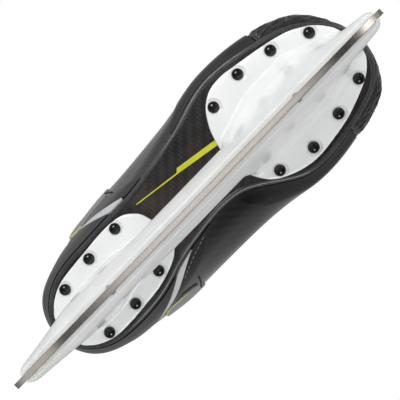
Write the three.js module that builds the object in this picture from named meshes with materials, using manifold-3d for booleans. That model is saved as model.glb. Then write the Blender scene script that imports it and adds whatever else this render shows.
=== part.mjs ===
// A right-foot ice hockey skate: a moulded carbon boot on a plastic holder that carries a steel runner.
// Millimetres, +Z up, +X towards the toe, +Y towards the inner (medial) side of the foot.
// While it is built, z = 0 is the ice and y = 0 the plane of the runner; at the end the whole
// skate is moved so that the origin is the middle of its bounding box, at the height of the ice.
import * as THREE from "three";
import { mergeVertices } from "three/addons/utils/BufferGeometryUtils.js";
import Module from "manifold-3d";

const wasm = await Module();
wasm.setup();

// ---------- driving dimensions ----------

const SOLE_HEIGHT = 64.7; // ice to the outsole's underside at x = 0
const SOLE_PITCH = 0.0625; // how much lower the sole gets for each mm towards the toe
const GAP = 0.35; // clearance left between neighbouring pieces
const OVERLAY_GAP = 0.6; // the same for a piece that lies on the quarters' curved outside

const OUTSOLE = 3.5; // plate thicknesses
const BOARD = 2.2;
const FOOTBED = 4.5;
const FLANGE = 3.6;
const SHELL = 2.6; // carbon quarter wall
const FACING = 3.0; // eyelet stay, thicker than the quarter

const RUNNER_HALF_LENGTH = 143;
const RUNNER_THICKNESS = 3.4;
const RUNNER_TOP = 23; // top of the steel inside the holder's slot
const ROCKER_RADIUS = 3350; // 11 ft rocker
const STUD_RADIUS = 2.5;
const STUD_TOP = 46;
const STUD_X = { front: 78, rear: -70 };

const RAIL_BOTTOM = 15; // lower edge of the holder, which leaves 15 mm of steel showing
const RAIL = { outer: 4.9, inner: 4.7 }; // half widths on the two sides of the runner
const BRIDGE_TOP = 34;
const BRIDGE = { outer: 11.5, inner: 10.2, length: 110 };
const NOSE_LENGTH = 5.5; // the rounded end of a post, and the stretch over which it then widens
const NOSE_SPREAD = 30;
const SHELF_TOP = 36; // floor of the pocket in each tower, where a runner nut sits

const RIVET_HEAD_RADIUS = 3.8;
const RIVET_HEAD_HEIGHT = 2.6;
const RIVET_SHANK_RADIUS = 2;
const RIVET_HOLE_RADIUS = 2.7;

const BOOT_MIDDLE_Y = -3.5; // the boot sits a little to the outer side of the runner
const EYELETS_PER_SIDE = 10;
const EYELET_RADIUS = 3.6;
const EYELET_HOLE = 2.55;
const EYELET_V = 3.8; // how far up the boot wall the eyelet row runs
const LACE_RADIUS = 1.1;

const soleZ = (x) => SOLE_HEIGHT - SOLE_PITCH * x;

// ---------- materials ----------

const finish = (color, roughness, metalness = 0) =>
  new THREE.MeshStandardMaterial({ color, roughness, metalness });

const material = {
  steel: finish(0xb9b2a8, 0.25, 1),
  holder: finish(0xf1f2f2, 0.25),
  rivet: finish(0x0a0a0b, 0.12, 0.6),
  hardware: finish(0xa8a8a8, 0.35, 1),
  outsole: finish(0x26262a, 0.3),
  carbon: finish(0x1b1b1d, 0.28),
  toeCap: finish(0x101012, 0.35),
  counter: finish(0x3b3b3e, 0.4),
  silver: finish(0xb4b8bc, 0.35, 0.3),
  facing: finish(0x17171a, 0.7),
  liner: finish(0x2a2a2d, 0.9),
  felt: finish(0xd9d9d4, 0.95),
  plastic: finish(0x232326, 0.45),
  footbed: finish(0xc9cf2a, 0.85),
  board: finish(0x8a7b62, 0.9),
  lace: finish(0xe9e9e4, 0.85),
};

// ---------- solids and meshes ----------

// A closed three.js geometry as a manifold-3d solid.
function solidOf(geometry) {
  const plain = new THREE.BufferGeometry();
  const source = geometry.index ? geometry.toNonIndexed() : geometry;
  plain.setAttribute("position", source.getAttribute("position"));
  const merged = mergeVertices(plain, 1e-3);
  return new wasm.Manifold(
    new wasm.Mesh({
      numProp: 3,
      vertProperties: merged.attributes.position.array,
      triVerts: new Uint32Array(merged.index.array),
    }),
  );
}

function geometryOf(solid) {
  const made = solid.getMesh();
  const positions = new Float32Array(made.numVert * 3);
  for (let i = 0; i < made.numVert; i++) {
    for (let k = 0; k < 3; k++) positions[3 * i + k] = made.vertProperties[made.numProp * i + k];
  }
  return new THREE.BufferGeometry()
    .setAttribute("position", new THREE.BufferAttribute(positions, 3))
    .setIndex(new THREE.BufferAttribute(made.triVerts, 1));
}

function cut(geometry, ...tools) {
  return geometryOf(tools.reduce((rest, tool) => rest.subtract(solidOf(tool)), solidOf(geometry)));
}

function join(...geometries) {
  return geometryOf(geometries.map(solidOf).reduce((sum, next) => sum.add(next)));
}

const skate = new THREE.Group();

function piece(name, geometry, look) {
  geometry.computeVertexNormals();
  const mesh = new THREE.Mesh(geometry, look);
  mesh.name = name;
  skate.add(mesh);
  return mesh;
}

// An indexed geometry from points and triangles.
function fromTriangles(points, triangles) {
  return new THREE.BufferGeometry().setFromPoints(points).setIndex(triangles);
}

// A closed solid through rings of points, each ring going the same way round, first ring lowest.
function loft(rings) {
  const n = rings[0].length;
  const triangles = [];
  for (let r = 0; r + 1 < rings.length; r++) {
    for (let i = 0; i < n; i++) {
      const a = r * n + i;
      const b = r * n + ((i + 1) % n);
      triangles.push(a, b, b + n, a, b + n, a + n);
    }
  }
  const flat = (ring) => ring.map((p) => new THREE.Vector2(p.x, p.y));
  const capOf = (ring) => THREE.ShapeUtils.triangulateShape(flat(ring), []);
  const last = (rings.length - 1) * n;
  for (const [a, b, c] of capOf(rings[0])) triangles.push(c, b, a);
  for (const [a, b, c] of capOf(rings.at(-1))) triangles.push(last + a, last + b, last + c);
  return fromTriangles(rings.flat(), triangles);
}

// A plate with the given plan outline, between two heights that may vary along x.
function slab(outline, lowZ, highZ) {
  const at = (height) => outline.map((p) => new THREE.Vector3(p.x, p.y, height(p.x)));
  return loft([at(lowZ), at(highZ)]);
}

function upright(radius, low, high, x, y, sides = 8) {
  const cylinder = new THREE.CylinderGeometry(radius, radius, high - low, sides);
  return cylinder.rotateX(Math.PI / 2).translate(x, y, (low + high) / 2);
}

// A lathe profile of [radius, height] pairs, turned about Z.
function turned(profile, sides) {
  const points = profile.map(([r, h]) => new THREE.Vector2(r, h));
  return new THREE.LatheGeometry(points, sides).rotateX(Math.PI / 2);
}

// ---------- the boot wall ----------

// The boot's outer wall is a net of curves: 18 stations go round the foot, from the back of the heel
// along the outer side to the toe and back along the inner side. Each station climbs from the sole's
// edge to the top line in five points [x, y, height above the outsole's underside].
const WALL = [
  [[-126, -2, 4], [-130.7, -2.5, 20], [-129, -2.5, 56], [-118, -3, 104], [-121, -3.5, 156]], // heel, back
  [[-118, -19.5, 4], [-122.6, -25.6, 20], [-120, -26.6, 56], [-111, -26, 104], [-113, -25, 154]],
  [[-98, -31, 4], [-100.5, -36.8, 20], [-98, -42.6, 56], [-94, -49, 102], [-95, -37.5, 150]],
  [[-62, -33.5, 4], [-62, -41, 20], [-64, -49, 54], [-66, -52.8, 98], [-68, -41, 148]], // outer ankle
  [[-25, -34.5, 4], [-25, -42, 19], [-28, -51, 50], [-36, -51, 96], [-41, -27, 158]], // top of the throat
  [[15, -40.5, 4], [15, -48.5, 18], [12, -52.6, 45], [2, -45, 82], [-8, -21, 114]],
  [[55, -49.5, 4], [55, -56, 17], [53, -53, 40], [44, -40, 66], [30, -19, 84]],
  [[96, -42.5, 4], [97, -51.5, 17], [94, -47, 37], [82, -32, 58], [58, -17, 70]],
  [[125, -28, 4], [129, -36, 17], [124, -32, 36], [106, -20, 55], [72, -11, 66]],
  [[140.5, 1, 4], [146, 0, 17], [140, -1, 36], [116, -3, 54], [77, -3.5, 65]], // toe
  [[129, 26.5, 4], [133, 33, 17], [128, 28.6, 36], [108, 14, 55], [72, 4, 66]],
  [[98, 37, 4], [100, 45.2, 17], [97, 41, 37], [83, 25, 58], [58, 10, 70]],
  [[60, 38.6, 4], [60, 47.5, 17], [57, 45.4, 40], [45, 32.2, 66], [30, 12, 84]],
  [[20, 16, 4], [17, 33, 18], [13, 44.5, 45], [3, 36.8, 82], [-8, 14, 114]], // arch
  [[-25, 17.5, 4], [-25, 31, 19], [-28, 44, 50], [-36, 43.5, 96], [-41, 20, 158]],
  [[-62, 26.5, 4], [-62, 35, 20], [-64, 43, 54], [-66, 46, 98], [-68, 34, 148]], // inner ankle
  [[-98, 26.5, 4], [-100.5, 32.3, 20], [-98, 37, 56], [-94, 38, 102], [-95, 30, 150]],
  [[-118, 16, 4], [-122.6, 20.6, 20], [-120, 21.8, 56], [-111, 20, 104], [-113, 18, 154]],
];
const STATIONS = WALL.length;
const TOP_ROW = WALL[0].length - 1;
const TOE_CAP = { from: 7, to: 11 }; // the stations where the toe cap meets the quarters
const THROAT = { top: 4, bottom: 7 }; // the stations between which the eyelet stay runs

const catmull = (a, b, c, d, t) =>
  b + 0.5 * t * (c - a + t * (2 * a - 5 * b + 4 * c - d + t * (3 * (b - c) + d - a)));

// A row's value at station u, where row -1 and the row past the last carry the end's slope on.
function control(u, row, axis) {
  if (row < 0) return 2 * control(u, 0, axis) - control(u, 1, axis);
  if (row > TOP_ROW) return 2 * control(u, TOP_ROW, axis) - control(u, TOP_ROW - 1, axis);
  const i = Math.floor(u);
  const value = (k) => WALL[(((i + k) % STATIONS) + STATIONS) % STATIONS][row][axis];
  return catmull(value(-1), value(0), value(1), value(2), u - i);
}

// The point of the outer wall at station u (0 to 18, round and round) and row v (0 sole to 4 top).
function wall(u, v) {
  const row = Math.min(TOP_ROW - 1, Math.floor(v));
  const value = (axis) =>
    catmull(...[-1, 0, 1, 2].map((k) => control(u, row + k, axis)), v - row);
  const x = value(0);
  return new THREE.Vector3(x, value(1), soleZ(x) + value(2));
}

function wallNormal(u, v) {
  const step = 0.02;
  const along = wall(u + step, v).sub(wall(u - step, v));
  const up = wall(u, Math.min(v + step, TOP_ROW)).sub(wall(u, Math.max(v - step, 0)));
  return along.cross(up).normalize();
}

const offWall = (u, v, distance) => wall(u, v).addScaledVector(wallNormal(u, v), distance);

// A closed sheet over the wall for the given values of u, and from low(u) to high(u) in rows,
// between two offsets from the wall, each a function of (u, v).
function sheet(us, low, high, rows, outer, inner) {
  const points = [];
  const n = rows + 1;
  for (const offset of [outer, inner]) {
    for (const u of us) {
      for (let j = 0; j <= rows; j++) {
        const v = THREE.MathUtils.lerp(low(u), high(u), j / rows);
        points.push(offWall(u, v, offset(u, v)));
      }
    }
  }
  return fromTriangles(points, sheetFaces(us.length, n));
}

// The faces of a sheet whose points are two grids, the outer one first.
function sheetFaces(columns, n) {
  const size = columns * n;
  const triangles = [];
  const quad = (a, b, c, d) => triangles.push(a, c, b, a, d, c);
  for (let i = 0; i + 1 < columns; i++) {
    for (let j = 0; j + 1 < n; j++) {
      const a = i * n + j;
      quad(a, a + 1, a + n + 1, a + n);
      quad(size + a, size + a + n, size + a + n + 1, size + a + 1);
    }
    const low = i * n;
    const high = low + n - 1;
    quad(low, low + n, size + low + n, size + low);
    quad(high, size + high, size + high + n, high + n);
  }
  const end = (columns - 1) * n;
  for (let j = 0; j + 1 < n; j++) {
    quad(j, size + j, size + j + 1, j + 1);
    quad(end + j, end + j + 1, size + end + j + 1, size + end + j);
  }
  return triangles;
}

// Values from a to b with every quarter or half station between them, so that layers share lines.
function columns(a, b, perStation) {
  const values = [a];
  for (let k = Math.ceil(a * perStation + 0.2); k / perStation < b - 0.2 / perStation; k++) {
    values.push(k / perStation);
  }
  return [...values, b];
}

// The plan outline of the sole's edge, moved inwards.
function soleOutline(inset, perStation = 2) {
  const outline = [];
  for (let k = 0; k < STATIONS * perStation; k++) {
    const u = k / perStation;
    const here = wall(u, 0);
    const along = wall(u + 0.05, 0).sub(wall(u - 0.05, 0)).normalize();
    outline.push(new THREE.Vector2(here.x - along.y * inset, here.y + along.x * inset));
  }
  return outline;
}

// ---------- runner and its fastenings ----------

const rocker = (x) => {
  const past = Math.max(0, Math.abs(x) - 100) / (RUNNER_HALF_LENGTH - 100);
  return (x * x) / (2 * ROCKER_RADIUS) + 7 * past ** 2.2;
};

function runnerGeometry() {
  const end = RUNNER_HALF_LENGTH;
  const flat = 12; // half of the level stretch in the middle, where the runner stands
  const profile = new THREE.Shape();
  profile.moveTo(-end + 14, RUNNER_TOP);
  profile.lineTo(-end + 3, 17.5);
  profile.lineTo(-end, 12.5);
  const marks = [-end + 1.5, -134, -124, -110, -95, -70, -40, -flat];
  for (const x of [...marks, ...marks.map((m) => -m).reverse()]) {
    profile.lineTo(x, Math.abs(x) <= flat ? 0 : rocker(x));
  }
  profile.lineTo(end, 12.5);
  profile.lineTo(end - 3, 17.5);
  profile.lineTo(end - 14, RUNNER_TOP);
  const blade = new THREE.ExtrudeGeometry(profile, { depth: RUNNER_THICKNESS, bevelEnabled: false });
  blade.rotateX(Math.PI / 2).translate(0, RUNNER_THICKNESS / 2, 0);
  const studs = Object.values(STUD_X).map((x) => upright(STUD_RADIUS, RUNNER_TOP - 2, STUD_TOP, x, 0));
  return join(blade, ...studs);
}

function nutGeometry() {
  const hexagon = new THREE.CylinderGeometry(5, 5, 4.8, 6).rotateX(Math.PI / 2).translate(0, 0, 2.4);
  return cut(hexagon, upright(STUD_RADIUS + GAP, -1, 6, 0, 0, 10));
}

function washerGeometry() {
  const hole = STUD_RADIUS + GAP;
  return turned([[hole, 0], [6, 0], [6, 1.2], [hole, 1.2], [hole, 0]], 12);
}

// ---------- holder ----------

// How wide one side of a post is at a distance from its rounded end.
function postHalfWidth(distance, nose, widest) {
  const rounded = Math.min(1, distance / NOSE_LENGTH);
  const spread = Math.min(1, Math.max(0, (distance - NOSE_LENGTH) / NOSE_SPREAD));
  return nose * Math.sqrt(rounded * (2 - rounded)) + (widest - nose) * spread;
}

// A plan ring of a post: its two ends, each with a nose's half width, and the widest places of its
// outer and inner sides near the rear and near the front, at a height that may vary along x.
function postRing([rear, front, rearNose, frontNose, outer, innerRear, innerFront], height) {
  const steps = [0.4, 2.2, NOSE_LENGTH, 16, NOSE_LENGTH + NOSE_SPREAD];
  const place = (x, y) => new THREE.Vector3(x, y, height(x));
  const towardsFront = steps.map((d) => [rear + d, (widest) => postHalfWidth(d, rearNose, widest)]);
  const towardsRear = steps.map((d) => [front - d, (widest) => postHalfWidth(d, frontNose, widest)]);
  const outside = [...towardsFront, ...towardsRear.toReversed()].map(([x, w]) => place(x, -w(outer)));
  const insideFront = towardsRear.map(([x, w]) => place(x, w(innerFront)));
  const insideRear = towardsFront.toReversed().map(([x, w]) => place(x, w(innerRear)));
  return [place(rear, 0), ...outside, place(front, 0), ...insideFront, ...insideRear];
}

const flangeUnder = (x) => soleZ(x) - GAP - FLANGE;

// Each post widens from the rail up to its flange.
function postGeometry(rings) {
  const heightOf = (z) => (z === TO_FLANGE ? (x) => flangeUnder(x) + 1 : () => z);
  return loft(rings.map(([z, ...plan]) => postRing(plan, heightOf(z))));
}

const TO_FLANGE = Infinity;
const FRONT_POST = [
  [RAIL_BOTTOM, 20, 142, 4.6, 4.3, 4.9, 4.7, 4.7],
  [22, 20, 143.6, 7, 6.3, 8, 7.6, 7.4],
  [33, 24, 141, 10.5, 7, 13, 10.8, 10.8],
  [45, 30, 137, 14, 8.5, 18, 13.5, 13.5],
  [TO_FLANGE, 32, 135.5, 16, 12, 25, 18, 18],
];
const REAR_POST = [
  [RAIL_BOTTOM, -140, -20, 4.3, 4.6, 4.9, 4.7, 4.7],
  [22, -141.2, -20, 6, 7, 8, 8, 7.4],
  [33, -138, -24, 7, 10, 11.6, 10, 9],
  [47, -129, -29, 8, 9, 13.2, 11.5, 8.6],
  [TO_FLANGE, -121, -31, 11, 9, 15.5, 13, 8.8],
];

// The flat plates that the rivets go through, as points round each plate.
const FRONT_FLANGE = [
  [29, 0], [33, -18], [37.2, -28], [44, -37], [53, -42.3], [63.4, -43.3], [75, -41.5], [96, -37.4],
  [111, -33], [121.5, -27], [128, -21], [133, -13], [136, 0], [134.9, 10], [131.6, 15.4], [125, 21],
  [114, 26.1], [99.5, 31], [85, 33.6], [71, 35], [60, 33.6], [51, 30.5], [43, 26.2], [37, 20], [32, 10],
];
const REAR_FLANGE = [
  [-28, 0], [-31.5, -17.4], [-35.5, -23.4], [-41.3, -27.6], [-50, -29.4], [-61, -29.6], [-75, -28.6],
  [-89, -27.5], [-100, -25.9], [-109.5, -21.6], [-115.2, -16.8], [-119, -11.5], [-121, 0], [-118.5, 10.8],
  [-115.2, 14.8], [-111, 18.3], [-104, 21.5], [-96.5, 23.2], [-84, 23.3], [-70, 22.2], [-58.7, 21.1],
  [-48.6, 18.7], [-40.4, 15.7], [-35.5, 12.8], [-31, 8],
];

function flangeGeometry(points) {
  const outline = points.map(([x, y]) => new THREE.Vector2(x, y));
  if (THREE.ShapeUtils.isClockWise(outline)) outline.reverse();
  return slab(outline, flangeUnder, (x) => soleZ(x) - GAP);
}

const RIVETS = {
  front_outer: [[120.2, -22.6], [96.2, -32.2], [71.9, -36.6], [47.2, -33.2]],
  front_inner: [[121.2, 18.8], [97.7, 25], [72.4, 28.6], [47.9, 23.6]],
  rear_outer: [[-50.1, -25], [-75.3, -23.6], [-100.1, -20.9]],
  rear_inner: [[-49.8, 13.2], [-75, 17.3], [-99.8, 18.3]],
};
const rivetPlaces = Object.values(RIVETS).flat();

const rivetHoles = () =>
  rivetPlaces.map(([x, y]) => upright(RIVET_HOLE_RADIUS, soleZ(x) - 12, soleZ(x) + 12, x, y, 6));

// The bridge and its rails: a V that widens upwards, seen along x.
function bridgeGeometry() {
  const section = new THREE.Shape();
  section.moveTo(-RAIL.outer, RAIL_BOTTOM);
  section.lineTo(RAIL.inner, RAIL_BOTTOM);
  section.lineTo(BRIDGE.inner - 3, BRIDGE_TOP - 11);
  section.lineTo(BRIDGE.inner, BRIDGE_TOP);
  section.lineTo(-BRIDGE.outer, BRIDGE_TOP);
  section.lineTo(-BRIDGE.outer + 3.4, BRIDGE_TOP - 11);
  const bridge = new THREE.ExtrudeGeometry(section, { depth: BRIDGE.length, bevelEnabled: false });
  return bridge.rotateX(Math.PI / 2).rotateZ(Math.PI / 2).translate(-BRIDGE.length / 2, 0, 0);
}

function holderGeometry() {
  const posts = [postGeometry(FRONT_POST), postGeometry(REAR_POST)];
  const body = join(bridgeGeometry(), ...posts, flangeGeometry(FRONT_FLANGE), flangeGeometry(REAR_FLANGE));
  const slotHeight = RUNNER_TOP + GAP - RAIL_BOTTOM + 5;
  const slot = new THREE.BoxGeometry(2 * RUNNER_HALF_LENGTH + 10, RUNNER_THICKNESS + 2 * GAP, slotHeight);
  slot.translate(0, 0, RUNNER_TOP + GAP - slotHeight / 2);
  const pockets = Object.values(STUD_X).flatMap((x) => [
    upright(8, SHELF_TOP, 90, x, 0, 14),
    upright(STUD_RADIUS + GAP, 15, 60, x, 0, 8),
  ]);
  return cut(body, slot, ...pockets, ...rivetHoles());
}

// ---------- rivets ----------

// A domed head under the flange, a shank through flange, outsole and board, and a clinched tail.
function rivetGeometry() {
  const under = -(GAP + FLANGE + GAP);
  const over = OUTSOLE + GAP + BOARD + GAP;
  return turned(
    [
      [0, under - RIVET_HEAD_HEIGHT],
      [RIVET_HEAD_RADIUS * 0.55, under - RIVET_HEAD_HEIGHT * 0.83],
      [RIVET_HEAD_RADIUS * 0.9, under - RIVET_HEAD_HEIGHT * 0.42],
      [RIVET_HEAD_RADIUS, under],
      [RIVET_SHANK_RADIUS, under],
      [RIVET_SHANK_RADIUS, over],
      [3.4, over],
      [2.6, over + 1],
      [0, over + 1],
    ],
    7,
  );
}

// ---------- tongue ----------

// The tongue's middle line, [x, z] from under the toe cap to its free top, and its half width there.
const TONGUE = [
  [80, 116, 17], [58, 125, 22], [30, 140, 26], [11, 155, 28], [-8, 173, 29], [-24, 193, 27.5],
  [-37, 216, 25], [-43.5, 238, 24], [-41, 256, 27], [-33, 272, 25],
];
const TONGUE_CURL = 38; // radius of its cross-section
const TONGUE_THICKNESS = 6.5;
const TONGUE_HINGE = 7; // index of the point where the top folds forward
const BITE_GUARD = { from: 0.42, to: 0.7, width: 0.5, height: 1.4 }; // shield under the upper lacing

const tonguePath = new THREE.CatmullRomCurve3(TONGUE.map(([x, z]) => new THREE.Vector3(x, 0, z)));

function tonguePoint(t, across, depth, extraWidth = 0) {
  const middle = tonguePath.getPoint(t);
  const along = tonguePath.getTangent(t);
  const out = new THREE.Vector3(along.z, 0, -along.x);
  const place = t * (TONGUE.length - 1);
  const k = Math.min(TONGUE.length - 2, Math.floor(place));
  const halfWidth = THREE.MathUtils.lerp(TONGUE[k][2], TONGUE[k + 1][2], place - k) + extraWidth;
  const angle = (across * halfWidth) / TONGUE_CURL;
  const radius = TONGUE_CURL - depth;
  return middle
    .addScaledVector(out, radius * Math.cos(angle) - TONGUE_CURL)
    .add(new THREE.Vector3(0, BOOT_MIDDLE_Y + radius * Math.sin(angle), 0));
}

// A strip of the tongue between two places on its path and two depths below its face.
function tongueStrip(from, to, steps, width, faceDepth, backDepth, acrossSteps = 6) {
  const points = [];
  for (const depth of [faceDepth, backDepth]) {
    for (let i = 0; i <= steps; i++) {
      const t = THREE.MathUtils.lerp(from, to, i / steps);
      for (let j = 0; j <= acrossSteps; j++) {
        points.push(tonguePoint(t, width * (1 - (2 * j) / acrossSteps), depth));
      }
    }
  }
  return fromTriangles(points, sheetFaces(steps + 1, acrossSteps + 1));
}

// ---------- eyelets and lace ----------

const SIDES = {
  outer: (u) => u,
  inner: (u) => STATIONS - u,
};

// The eyelets run down the throat from the collar's corner to the toe cap, evenly along the wall.
function eyeletFrames(side) {
  const from = THROAT.top + 0.13;
  const to = THROAT.bottom - 0.17;
  const samples = 120;
  const lengths = [0];
  const at = (k) => wall(side(from + ((to - from) * k) / samples), EYELET_V);
  for (let k = 1; k <= samples; k++) lengths.push(lengths[k - 1] + at(k).distanceTo(at(k - 1)));
  const frames = [];
  for (let e = 0; e < EYELETS_PER_SIDE; e++) {
    const wanted = (lengths[samples] * e) / (EYELETS_PER_SIDE - 1);
    const k = lengths.findIndex((length) => length >= wanted - 1e-6);
    const u = side(from + ((to - from) * k) / samples);
    const normal = wallNormal(u, EYELET_V);
    const inward = wall(u, EYELET_V + 0.02).sub(wall(u, EYELET_V - 0.02)).normalize();
    const along = wall(side(from), EYELET_V).sub(wall(side(to), EYELET_V)).normalize();
    const edge = wall(u, TOP_ROW).distanceTo(wall(u, EYELET_V));
    frames.push({ centre: wall(u, EYELET_V), normal, inward, along, edge });
  }
  return frames; // from the top down
}

const eyeletRows = { outer: eyeletFrames(SIDES.outer), inner: eyeletFrames(SIDES.inner) };

function placedOn(geometry, frame) {
  const turn = new THREE.Quaternion().setFromUnitVectors(new THREE.Vector3(0, 0, 1), frame.normal);
  return geometry.applyQuaternion(turn).translate(...frame.centre);
}

function eyeletGeometry(frame) {
  const face = 0.5 + GAP + 0.25;
  const wallOfTube = EYELET_HOLE + 0.35;
  const profile = [
    [EYELET_HOLE, -FACING + 0.2],
    [wallOfTube, -FACING + 0.2],
    [wallOfTube, face],
    [EYELET_RADIUS, face],
    [EYELET_HOLE, face + 0.8],
    [EYELET_HOLE, -FACING + 0.2],
  ];
  return placedOn(turned(profile, 6), frame);
}

const eyeletHoleTool = (frame) =>
  placedOn(new THREE.CylinderGeometry(3.6, 3.6, 14, 6).rotateX(Math.PI / 2), frame);

// A point near an eyelet: so far towards the throat, above the wall and up along the facing.
function byEyelet(frame, inward, height, up = 0) {
  const point = frame.centre.clone().addScaledVector(frame.inward, inward);
  return point.addScaledVector(frame.normal, height).addScaledVector(frame.along, up);
}

// The point over the tongue's middle that is nearest to a pair of places beside it.
function overTongue(a, b, height) {
  const middle = a.clone().lerp(b, 0.5).setY(0);
  const steps = Array.from({ length: 301 }, (_, k) => k / 300);
  const away = (t) => tonguePath.getPoint(t).distanceTo(middle);
  const t = steps.reduce((best, next) => (away(next) < away(best) ? next : best));
  const guard = t > BITE_GUARD.from - 0.03 && t < BITE_GUARD.to + 0.03 ? BITE_GUARD.height : 0;
  return tonguePoint(t, 0, -height - guard);
}

// The lace starts as a bar under the lowest pair of eyelets. Both ends come up through their holes and
// cross over the tongue to the underside of the next pair, up to the top pair. There each end folds
// over the facing's edge and is tucked in behind it.
function lacePath() {
  const ladder = { outer: [...eyeletRows.outer].reverse(), inner: [...eyeletRows.inner].reverse() };
  const clear = LACE_RADIUS + 0.7;
  const strand = (first) => {
    const points = [];
    let side = first;
    for (let e = 0; e + 1 < EYELETS_PER_SIDE; e++) {
      const other = side === "outer" ? "inner" : "outer";
      const here = ladder[side][e];
      const next = ladder[other][e + 1];
      const over = first === "outer" ? 2 * LACE_RADIUS + 0.5 : 0;
      points.push(byEyelet(here, 0, 0), byEyelet(here, 0.35, 2.2), byEyelet(here, 2.6, 3.7));
      points.push(byEyelet(here, here.edge + 1.2, 3.2), overTongue(here.centre, next.centre, clear + over));
      points.push(byEyelet(next, next.edge + 1, -4.7));
      points.push(byEyelet(next, 2.4, -4.9), byEyelet(next, 0.2, -3.2));
      side = other;
    }
    const last = ladder[side].at(-1);
    points.push(byEyelet(last, 0, 0), byEyelet(last, 0.35, 2.2), byEyelet(last, 2.6, 3.7, 0.5));
    points.push(byEyelet(last, last.edge, 3.2, 2), byEyelet(last, last.edge + 2.6, -0.8, 3.6));
    points.push(byEyelet(last, last.edge - 2.5, -5, 5));
    return points;
  };
  const bar = (frame) => [
    byEyelet(frame, 0.2, -3.2),
    byEyelet(frame, 2.4, -4.9),
    byEyelet(frame, frame.edge + 2, -4.8),
  ];
  const [left, right] = [ladder.outer[0], ladder.inner[0]];
  return [
    ...strand("outer").reverse(),
    ...bar(left),
    overTongue(left.centre, right.centre, clear),
    ...bar(right).reverse(),
    ...strand("inner"),
  ];
}

function laceGeometry() {
  const path = new THREE.CatmullRomCurve3(lacePath(), false, "centripetal");
  const corners = Array.from({ length: 5 }, (_, k) => (k * 2 * Math.PI) / 5);
  const section = new THREE.Shape(
    corners.map((angle) => new THREE.Vector2(LACE_RADIUS * Math.cos(angle), LACE_RADIUS * Math.sin(angle))),
  );
  return new THREE.ExtrudeGeometry(section, { steps: 215, extrudePath: path });
}

// ---------- assembly ----------

piece("runner", runnerGeometry(), material.steel);
piece("holder", holderGeometry(), material.holder);
for (const [end, x] of Object.entries(STUD_X)) {
  piece(`${end}_runner_washer`, washerGeometry().translate(x, 0, SHELF_TOP + GAP), material.hardware);
  piece(`${end}_runner_nut`, nutGeometry().translate(x, 0, SHELF_TOP + 2 * GAP + 1.2), material.hardware);
}
for (const [row, places] of Object.entries(RIVETS)) {
  places.forEach(([x, y], k) => {
    const rivet = rivetGeometry().rotateY(Math.atan(SOLE_PITCH)).translate(x, y, soleZ(x));
    piece(`${row}_rivet_${k + 1}`, rivet, material.rivet);
  });
}

const accessHoles = () => Object.values(STUD_X).map((x) => upright(7.5, 50, 90, x, 0, 12));
const above = (height) => (x) => soleZ(x) + height;
const boardFloor = OUTSOLE + GAP;
const footbedFloor = boardFloor + BOARD + GAP + 1.6;
piece(
  "outsole",
  cut(slab(soleOutline(0), soleZ, above(OUTSOLE)), ...rivetHoles(), ...accessHoles()),
  material.outsole,
);
const boardSlab = slab(soleOutline(5.5), above(boardFloor), above(boardFloor + BOARD));
piece(
  "insole_board",
  cut(boardSlab, ...rivetHoles(), ...accessHoles()),
  material.board,
);
piece(
  "footbed",
  slab(soleOutline(10.5), above(footbedFloor), above(footbedFloor + FOOTBED)),
  material.footbed,
);

const always = (value) => () => value;
const facingFloor = (u) => {
  const s = Math.min(Math.abs(u), STATIONS - Math.abs(u)); // the same on both sides
  return s < 5 ? 3.75 - 0.13 * Math.max(0, s - 4) : Math.max(3.45, 3.62 - 0.15 * (s - 5));
};

const toeCapColumns = columns(TOE_CAP.from + 0.02, TOE_CAP.to - 0.02, 3);
piece(
  "toe_cap",
  sheet(toeCapColumns, always(0), always(TOP_ROW), 8, always(0), always(-SHELL)),
  material.toeCap,
);
piece(
  "toe_lining",
  sheet(columns(7.1, 10.9, 2), always(0.2), always(3.96), 5, always(-SHELL - 0.8), always(-SHELL - 3)),
  material.liner,
);

// Builds a piece on one side of the boot from columns given for the outer side.
function sided(name, us, build, look) {
  piece(`outer_${name}`, build(us), look);
  piece(`inner_${name}`, build(us.map((u) => STATIONS - u).reverse()), look);
}

const near = (u) => Math.min(u, STATIONS - u);
sided(
  "quarter",
  [...columns(0.006, 3.9, 3), ...columns(3.95, TOE_CAP.from - 0.02, 3)],
  (us) => {
    const top = (u) => (near(u) < 3.92 ? TOP_ROW : facingFloor(u) - 0.025);
    return sheet(us, always(0), top, 8, always(0), always(-SHELL));
  },
  material.carbon,
);
sided(
  "facing",
  columns(3.965, TOE_CAP.from - 0.03, 3),
  (us) => {
    const strip = sheet(us, facingFloor, always(TOP_ROW), 1, always(0.5), always(-FACING + 0.5));
    const holes = [...eyeletRows.outer, ...eyeletRows.inner].map(eyeletHoleTool);
    return cut(strip, ...holes);
  },
  material.facing,
);
sided(
  "liner",
  [...columns(0.02, 3.5, 2), ...columns(3.8, 6.95, 2)],
  (us) =>
    sheet(
      us,
      always(0.28),
      (u) => (near(u) < 3.7 ? 3.98 : facingFloor(u) - 0.06),
      7,
      always(-SHELL - 1.3),
      (u) => -SHELL - (near(u) < 4.5 ? 5.2 : 3.2),
    ),
  material.liner,
);

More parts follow.
